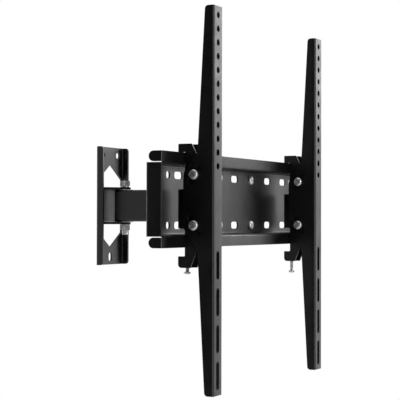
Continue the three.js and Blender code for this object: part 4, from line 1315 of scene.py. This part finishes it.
# ---- Adaptors ------------------------------------------------------------------------
class MountAdaptors(bpy.types.Operator):
    """Builds the two folded adaptors that hook over the crossbar"""

    bl_idname = "mount.adaptors"
    bl_label = "Hook Adaptors"

    def execute(self, context):
        for side_name in SIDES:
            node = f"{side_name}_adaptor"
            steel_piece(node, self.adaptor(node, side_name))
        return {"FINISHED"}

    def adaptor(self, node, side_name):
        s = sizes("mount_adaptor")
        rail, box = Extent("crossbar"), Extent(node)
        lip_back = rail.front - sizes("mount_rail").sheet
        middle = rail.middle
        lip_top = rail.top - middle
        back, face_gap = box.rear, rail.front + s.slide_gap
        hook_gap = lip_back - s.slide_gap
        hook_top, floor_under = box.top - middle, box.bottom - middle
        front = box.front
        hook_end = lip_top + s.slide_gap - s.hook_drop
        half = box.width / 2
        front_end = lip_top - s.nose_down
        foot_top = floor_under + s.foot
        outline = [
            (back, floor_under, s.heel_round),
            (rail.front + s.foot_front, floor_under),
            (front - s.shin, floor_under + s.shin_rise),
            (front, -front_end, s.front_round),
            (front, front_end, s.front_round),
            (front - s.brow, lip_top - s.brow_down),
            (rail.front + s.hook_front, hook_top, s.top_round),
            (back, hook_top, s.edge_round),
            (back, hook_end, s.edge_round),
            (hook_gap, hook_end, s.edge_round),
            (hook_gap, lip_top + s.slide_gap),
            (face_gap, lip_top + s.slide_gap),
            (face_gap, s.back_top, s.edge_round),
            (back, s.back_top, s.edge_round),
            (back, -s.back_bottom, s.edge_round),
            (face_gap, -s.back_bottom, s.edge_round),
            (face_gap, foot_top, s.edge_round),
            (back, foot_top, s.edge_round),
        ]
        block = side_prism(outline, -half, half)
        past, behind = front + OVERRUN, back - OVERRUN
        floor_top = floor_under + s.sheet
        space = side_prism(
            [
                (behind, hook_top + OVERRUN),
                (behind, s.back_top + OVERRUN),
                (back + s.sheet, s.back_top + OVERRUN),
                (back + s.sheet, -s.back_bottom - OVERRUN),
                (behind, -s.back_bottom - OVERRUN),
                (behind, floor_top),
                (back + s.floor, floor_top),
                (back + s.floor, floor_under - OVERRUN),
                (past, floor_under - OVERRUN),
                (past, hook_top + OVERRUN),
            ],
            -half + s.sheet,
            half - s.sheet,
        )
        tools = [space]
        for level in LEVELS:
            bolt = Extent(f"{side_name}_tilt_bolt_{level}")
            hole = circle(bolt.along, bolt.middle - middle, sizes("mount_head").bolt_hole)
            tools += [
                side_prism(hole, low, low + s.sheet + 2 * OVERRUN)
                for low in (-half - OVERRUN, half - s.sheet - OVERRUN)
            ]
        lock = Extent(f"{side_name}_lock_screw")
        screw = circle(0, lock.along, s.screw_hole)
        tools.append(plan_prism(screw, floor_under - OVERRUN, floor_top + OVERRUN))
        shape = cut(block, tools[:1])
        return moved(cut(shape, tools[1:]), x=box.centre, z=middle)


# ---- TV brackets ---------------------------------------------------------------------
class MountTvBrackets(bpy.types.Operator):
    """Builds the two vertical channels with their hole rows and curved tilt slots"""

    bl_idname = "mount.tv_brackets"
    bl_label = "Television Brackets"

    def execute(self, context):
        for side_name in SIDES:
            node = f"{side_name}_tv_bracket"
            steel_piece(node, self.bracket(node, side_name))
        return {"FINISHED"}

    def bracket(self, node, side_name):
        s = sizes("mount_bracket")
        box = Extent(node)
        side = box.width / 2
        top = box.height / 2
        face, back = box.front, box.rear
        section = channel_outline(side, face, back, s.sheet, s.bend)
        channel = plan_prism(section, -top, top)
        half_profile = [
            (face + OVERRUN, top),
            (face - s.end_depth, top, s.end_round),
            (face - s.mid_depth, s.lug_root, s.root_round),
            (back, s.lug_half, s.lug_corner),
        ]
        profile = side_prism(both_levels(half_profile), -side - OVERRUN, side + OVERRUN)
        shell = cut(limit(channel, profile), self.face_cuts(s, face, top))
        tools = self.tilt_slots(s, side_name, face, box.middle, side)
        return moved(cut(shell, tools), x=box.centre, z=box.middle)

    def face_cuts(self, s, face, top):
        outlines = []
        for row in range(s.hole_count):
            outlines.append(circle(0, top - s.hole_drop - row * s.hole_pitch, s.hole))
        for row in range(s.slot_count):
            z = -top + s.slot_rise + row * s.slot_pitch
            outlines.append(slot_outline(0, z, 2 * s.hole, s.slot_length))
        low, high = face - s.sheet - OVERRUN, face + OVERRUN
        return [front_prism(outline, low, high) for outline in outlines]

    def tilt_slots(self, s, side_name, face, bracket_middle, side):
        """Slots on a circle about the tilt axis, each centred on its bolt."""
        axis = face + s.tilt_ahead
        middle = Extent("crossbar").middle
        tools = []
        for level in LEVELS:
            bolt = Extent(f"{side_name}_tilt_bolt_{level}")
            run, rise = axis - bolt.along, bolt.middle - middle
            outline = curved_slot(
                (axis, middle - bracket_middle),
                math.hypot(run, rise),
                math.atan2(rise, run),
                s.tilt_travel,
                s.tilt_half_width,
            )
            for low in (-side - OVERRUN, side - s.sheet - OVERRUN):
                tools.append(side_prism(outline, low, low + s.sheet + 2 * OVERRUN))
        return tools


CURVE_STEPS = 12  # flats along a curved slot's side, and round its end


def curved_slot(axis, radius, middle, travel, half):
    """The outline of a slot that curves about axis and has round ends."""

    def at(distance, turn):
        return (axis[0] - distance * math.cos(turn), axis[1] + distance * math.sin(turn))

    points = []
    for step in range(CURVE_STEPS + 1):
        points.append(at(radius + half, middle - travel + 2 * travel * step / CURVE_STEPS))
    points += slot_end(at(radius, middle + travel), at(radius + half, middle + travel), half)
    for step in range(CURVE_STEPS + 1):
        points.append(at(radius - half, middle + travel - 2 * travel * step / CURVE_STEPS))
    points += slot_end(at(radius, middle - travel), at(radius - half, middle - travel), half)
    return points


def slot_end(centre, start, half):
    """Points of the half circle that closes a slot, without its two ends."""
    centre, start = Vector(centre), Vector(start)
    spoke = start - centre
    return [
        tuple(centre + Matrix.Rotation(-math.pi * step / CURVE_STEPS, 2) @ spoke)
        for step in range(1, CURVE_STEPS)
    ]


# ---- Tilt and clamp fasteners --------------------------------------------------------
class MountTiltFasteners(bpy.types.Operator):
    """Builds the bolt, spacer, washer and nut at each of the four tilt slots"""

    bl_idname = "mount.tilt_fasteners"
    bl_label = "Tilt Fasteners"
    FIRST_TURN = 62  # degrees, of the bolts about their own axes
    NEXT_TURN = 52

    def execute(self, context):
        s = sizes("mount_fasteners")
        for count, (side_name, level) in enumerate(PLACES):
            name = f"{side_name}_tilt_{{}}_{level}"
            self.bolt(name.format("bolt"), s, self.FIRST_TURN + count * self.NEXT_TURN)
            self.rings(name, s)
        return {"FINISHED"}

    def bolt(self, node, s, turn):
        box = Extent(node)
        mesh = small_bolt(s, box.width, box.height / 2, turn)
        zinc_piece(node, stood(mesh, node, *TO_THE_LEFT, s.small_head))

    def rings(self, name, s):
        bore = s.small_radius + 2 * s.bore_gap
        for part in ("spacer", "washer"):
            node = name.format(part)
            box = Extent(node)
            mesh = ring_solid(bore, box.height / 2, box.width)
            zinc_piece(node, stood(mesh, node, *TO_THE_LEFT, box.width))
        node = name.format("nut")
        width = Extent(node).width
        mesh = hex_nut(s.small_radius + THREAD_PLAY, s.small_hex, width)
        zinc_piece(node, stood(mesh, node, *TO_THE_LEFT, width))


class MountLockScrews(bpy.types.Operator):
    """Builds the two long screws that lock the adaptors on the crossbar"""

    bl_idname = "mount.lock_screws"
    bl_label = "Lock Screws"

    def execute(self, context):
        s = sizes("mount_fasteners")
        for side_name, turn in (("left", 20), ("right", 65)):
            node = f"{side_name}_lock_screw"
            box = Extent(node)
            shank = box.height - s.lock_head
            head_radius = box.width / 2
            mesh = pan_screw(
                s.lock_radius, shank, s.lock_pitch, shank - 1, head_radius, s.lock_head
            )
            zinc_piece(node, stood(spun(mesh, turn), node, *DOWNWARDS, s.lock_head))
        return {"FINISHED"}


# ---- Stage ---------------------------------------------------------------------------
SENSOR_WIDTH = 36.0
WHITE = (1.0, 1.0, 1.0, 1.0)
# Name, place, size, brightness and, for a light that does not face the mount, its direction.
LIGHTS = (
    ("key_softbox", (2.35, -1.30, 1.28), (1.8, 2.2), 3.7),
    ("low_softbox", (2.35, -1.30, -0.42), (1.8, 1.2), 1.15, (-0.875, 0.484, 0.0)),
    ("overhead_softbox", (0.2, -0.3, 2.2), (2.6, 2.6), 1.2),
    ("rear_softbox", (1.6, 2.0, 0.7), (1.6, 1.6), 1.4),
    ("front_softbox", (-0.95, -2.1, 0.25), (0.5, 2.0), 5.5),
    ("wall_glow", (-0.17, 0.06, 0.0), (0.5, 0.7), 0.5, (0.0, -1.0, 0.0)),
)


def softbox(name, place, size, brightness, facing=None):
    """A rectangular light; brightness is what a mirror would show of it.

    It faces the mount unless facing gives its direction.
    """
    light = bpy.data.lights.new(name, "AREA")
    light.shape = "RECTANGLE"
    light.size, light.size_y = size
    light.energy = brightness * math.pi * size[0] * size[1]
    item = bpy.data.objects.new(name, light)
    item.location = place
    ahead = Vector(facing) if facing else -Vector(place)
    item.rotation_euler = ahead.to_track_quat("-Z", "Y").to_euler()
    item.visible_camera = False
    bpy.context.scene.collection.objects.link(item)
    return item


class MountStageSetup(bpy.types.Operator):
    """Sets out the pale floor, the soft studio light and the camera"""

    bl_idname = "mount.stage"
    bl_label = "Stage"

    def execute(self, context):
        s = context.scene.mount_stage
        self.floor(s)
        self.room(s)
        for light in LIGHTS:
            softbox(*light)
        self.camera(s)
        return {"FINISHED"}

    def floor(self, s):
        half, drop = s.floor_size / 2, -s.floor_drop
        build = bmesh.new()
        corners = [(-half, -half), (half, -half), (half, half), (-half, half)]
        build.faces.new([build.verts.new((x, y, drop)) for x, y in corners])
        mesh = bpy.data.meshes.new("floor")
        build.to_mesh(mesh)
        build.free()
        finish = Finish("pale_floor")
        cloud = finish.noise(1.3, 2.0)
        finish.set(
            Base_Color=finish.mixed(cloud, rgba(s.floor_tone), rgba(s.floor_tone, 1.03)),
            Roughness=0.9,
        )
        mesh.materials.append(finish.material)
        item = bpy.data.objects.new("floor", mesh)
        bpy.context.scene.collection.objects.link(item)

    def room(self, s):
        """A dim room for the light, and plain white where the camera looks past the mount."""
        world = bpy.data.worlds.new("studio")
        bpy.context.scene.world = world
        world.use_nodes = True
        tree = world.node_tree
        fill = tree.nodes["Background"]
        fill.inputs["Color"].default_value = WHITE
        fill.inputs["Strength"].default_value = s.fill
        plain = tree.nodes.new("ShaderNodeBackground")
        plain.inputs["Color"].default_value = WHITE
        sight = tree.nodes.new("ShaderNodeLightPath")
        mix = tree.nodes.new("ShaderNodeMixShader")
        tree.links.new(sight.outputs["Is Camera Ray"], mix.inputs[0])
        tree.links.new(fill.outputs[0], mix.inputs[1])
        tree.links.new(plain.outputs[0], mix.inputs[2])
        tree.links.new(mix.outputs[0], tree.nodes["World Output"].inputs["Surface"])
        bpy.context.scene.view_settings.view_transform = "Standard"

    def camera(self, s):
        lens = bpy.data.cameras.new("camera")
        lens.lens = s.lens
        lens.sensor_width = SENSOR_WIDTH
        item = bpy.data.objects.new("camera", lens)
        level = math.cos(s.camera_rise)
        east, north = level * math.cos(s.camera_turn), level * math.sin(s.camera_turn)
        ahead = Vector((east, north, math.sin(s.camera_rise)))
        right = ahead.cross(ALONG_Z).normalized()
        up = right.cross(ahead)
        cosine, sine = math.cos(s.camera_roll), math.sin(s.camera_roll)
        axes = (right * cosine + up * sine, up * cosine - right * sine, -ahead)
        matrix = Matrix(axes).transposed().to_4x4()
        matrix.translation = Vector((s.camera_x, s.camera_y, s.camera_z))
        item.matrix_world = matrix
        bpy.context.scene.collection.objects.link(item)
        bpy.context.scene.camera = item


# ---- Panel and registration ----------------------------------------------------------
OPERATORS = (
    MountStageSetup,
    MountWallPlate,
    MountSwingArm,
    MountBushes,
    MountPivotFasteners,
    MountHeadBracket,
    MountCrossbar,
    MountCrossbarFasteners,
    MountAdaptors,
    MountTvBrackets,
    MountTiltFasteners,
    MountLockScrews,
)


class MountPanel(bpy.types.Panel):
    """Lists the mount's pieces and their sizes"""

    bl_idname = "VIEW3D_PT_wall_mount"
    bl_label = "Wall Mount"
    bl_space_type = "VIEW_3D"
    bl_region_type = "UI"
    bl_category = "Wall Mount"

    def draw(self, context):
        for operator in OPERATORS:
            self.layout.operator(operator.bl_idname)
        for name, group in SETTINGS.items():
            box = self.layout.box()
            box.label(text=group.__doc__)
            for prop in group.__annotations__:
                box.prop(getattr(context.scene, name), prop)


CLASSES = (*SETTINGS.values(), *OPERATORS, MountPanel)


def register():
    for item in CLASSES:
        bpy.utils.register_class(item)
    for name, group in SETTINGS.items():
        setattr(bpy.types.Scene, name, PointerProperty(type=group))


def unregister():
    for name in SETTINGS:
        delattr(bpy.types.Scene, name)
    for item in reversed(CLASSES):
        bpy.utils.unregister_class(item)


def corners(bounds):
    return [list(corner) for corner in bounds]


def main():
    register()
    for operator in OPERATORS:
        group, name = operator.bl_idname.split(".")
        result = getattr(getattr(bpy.ops, group), name)()
        if result != {"FINISHED"}:
            raise RuntimeError(f"{operator.bl_label} did not finish")


if __name__ == "__main__":
    main()
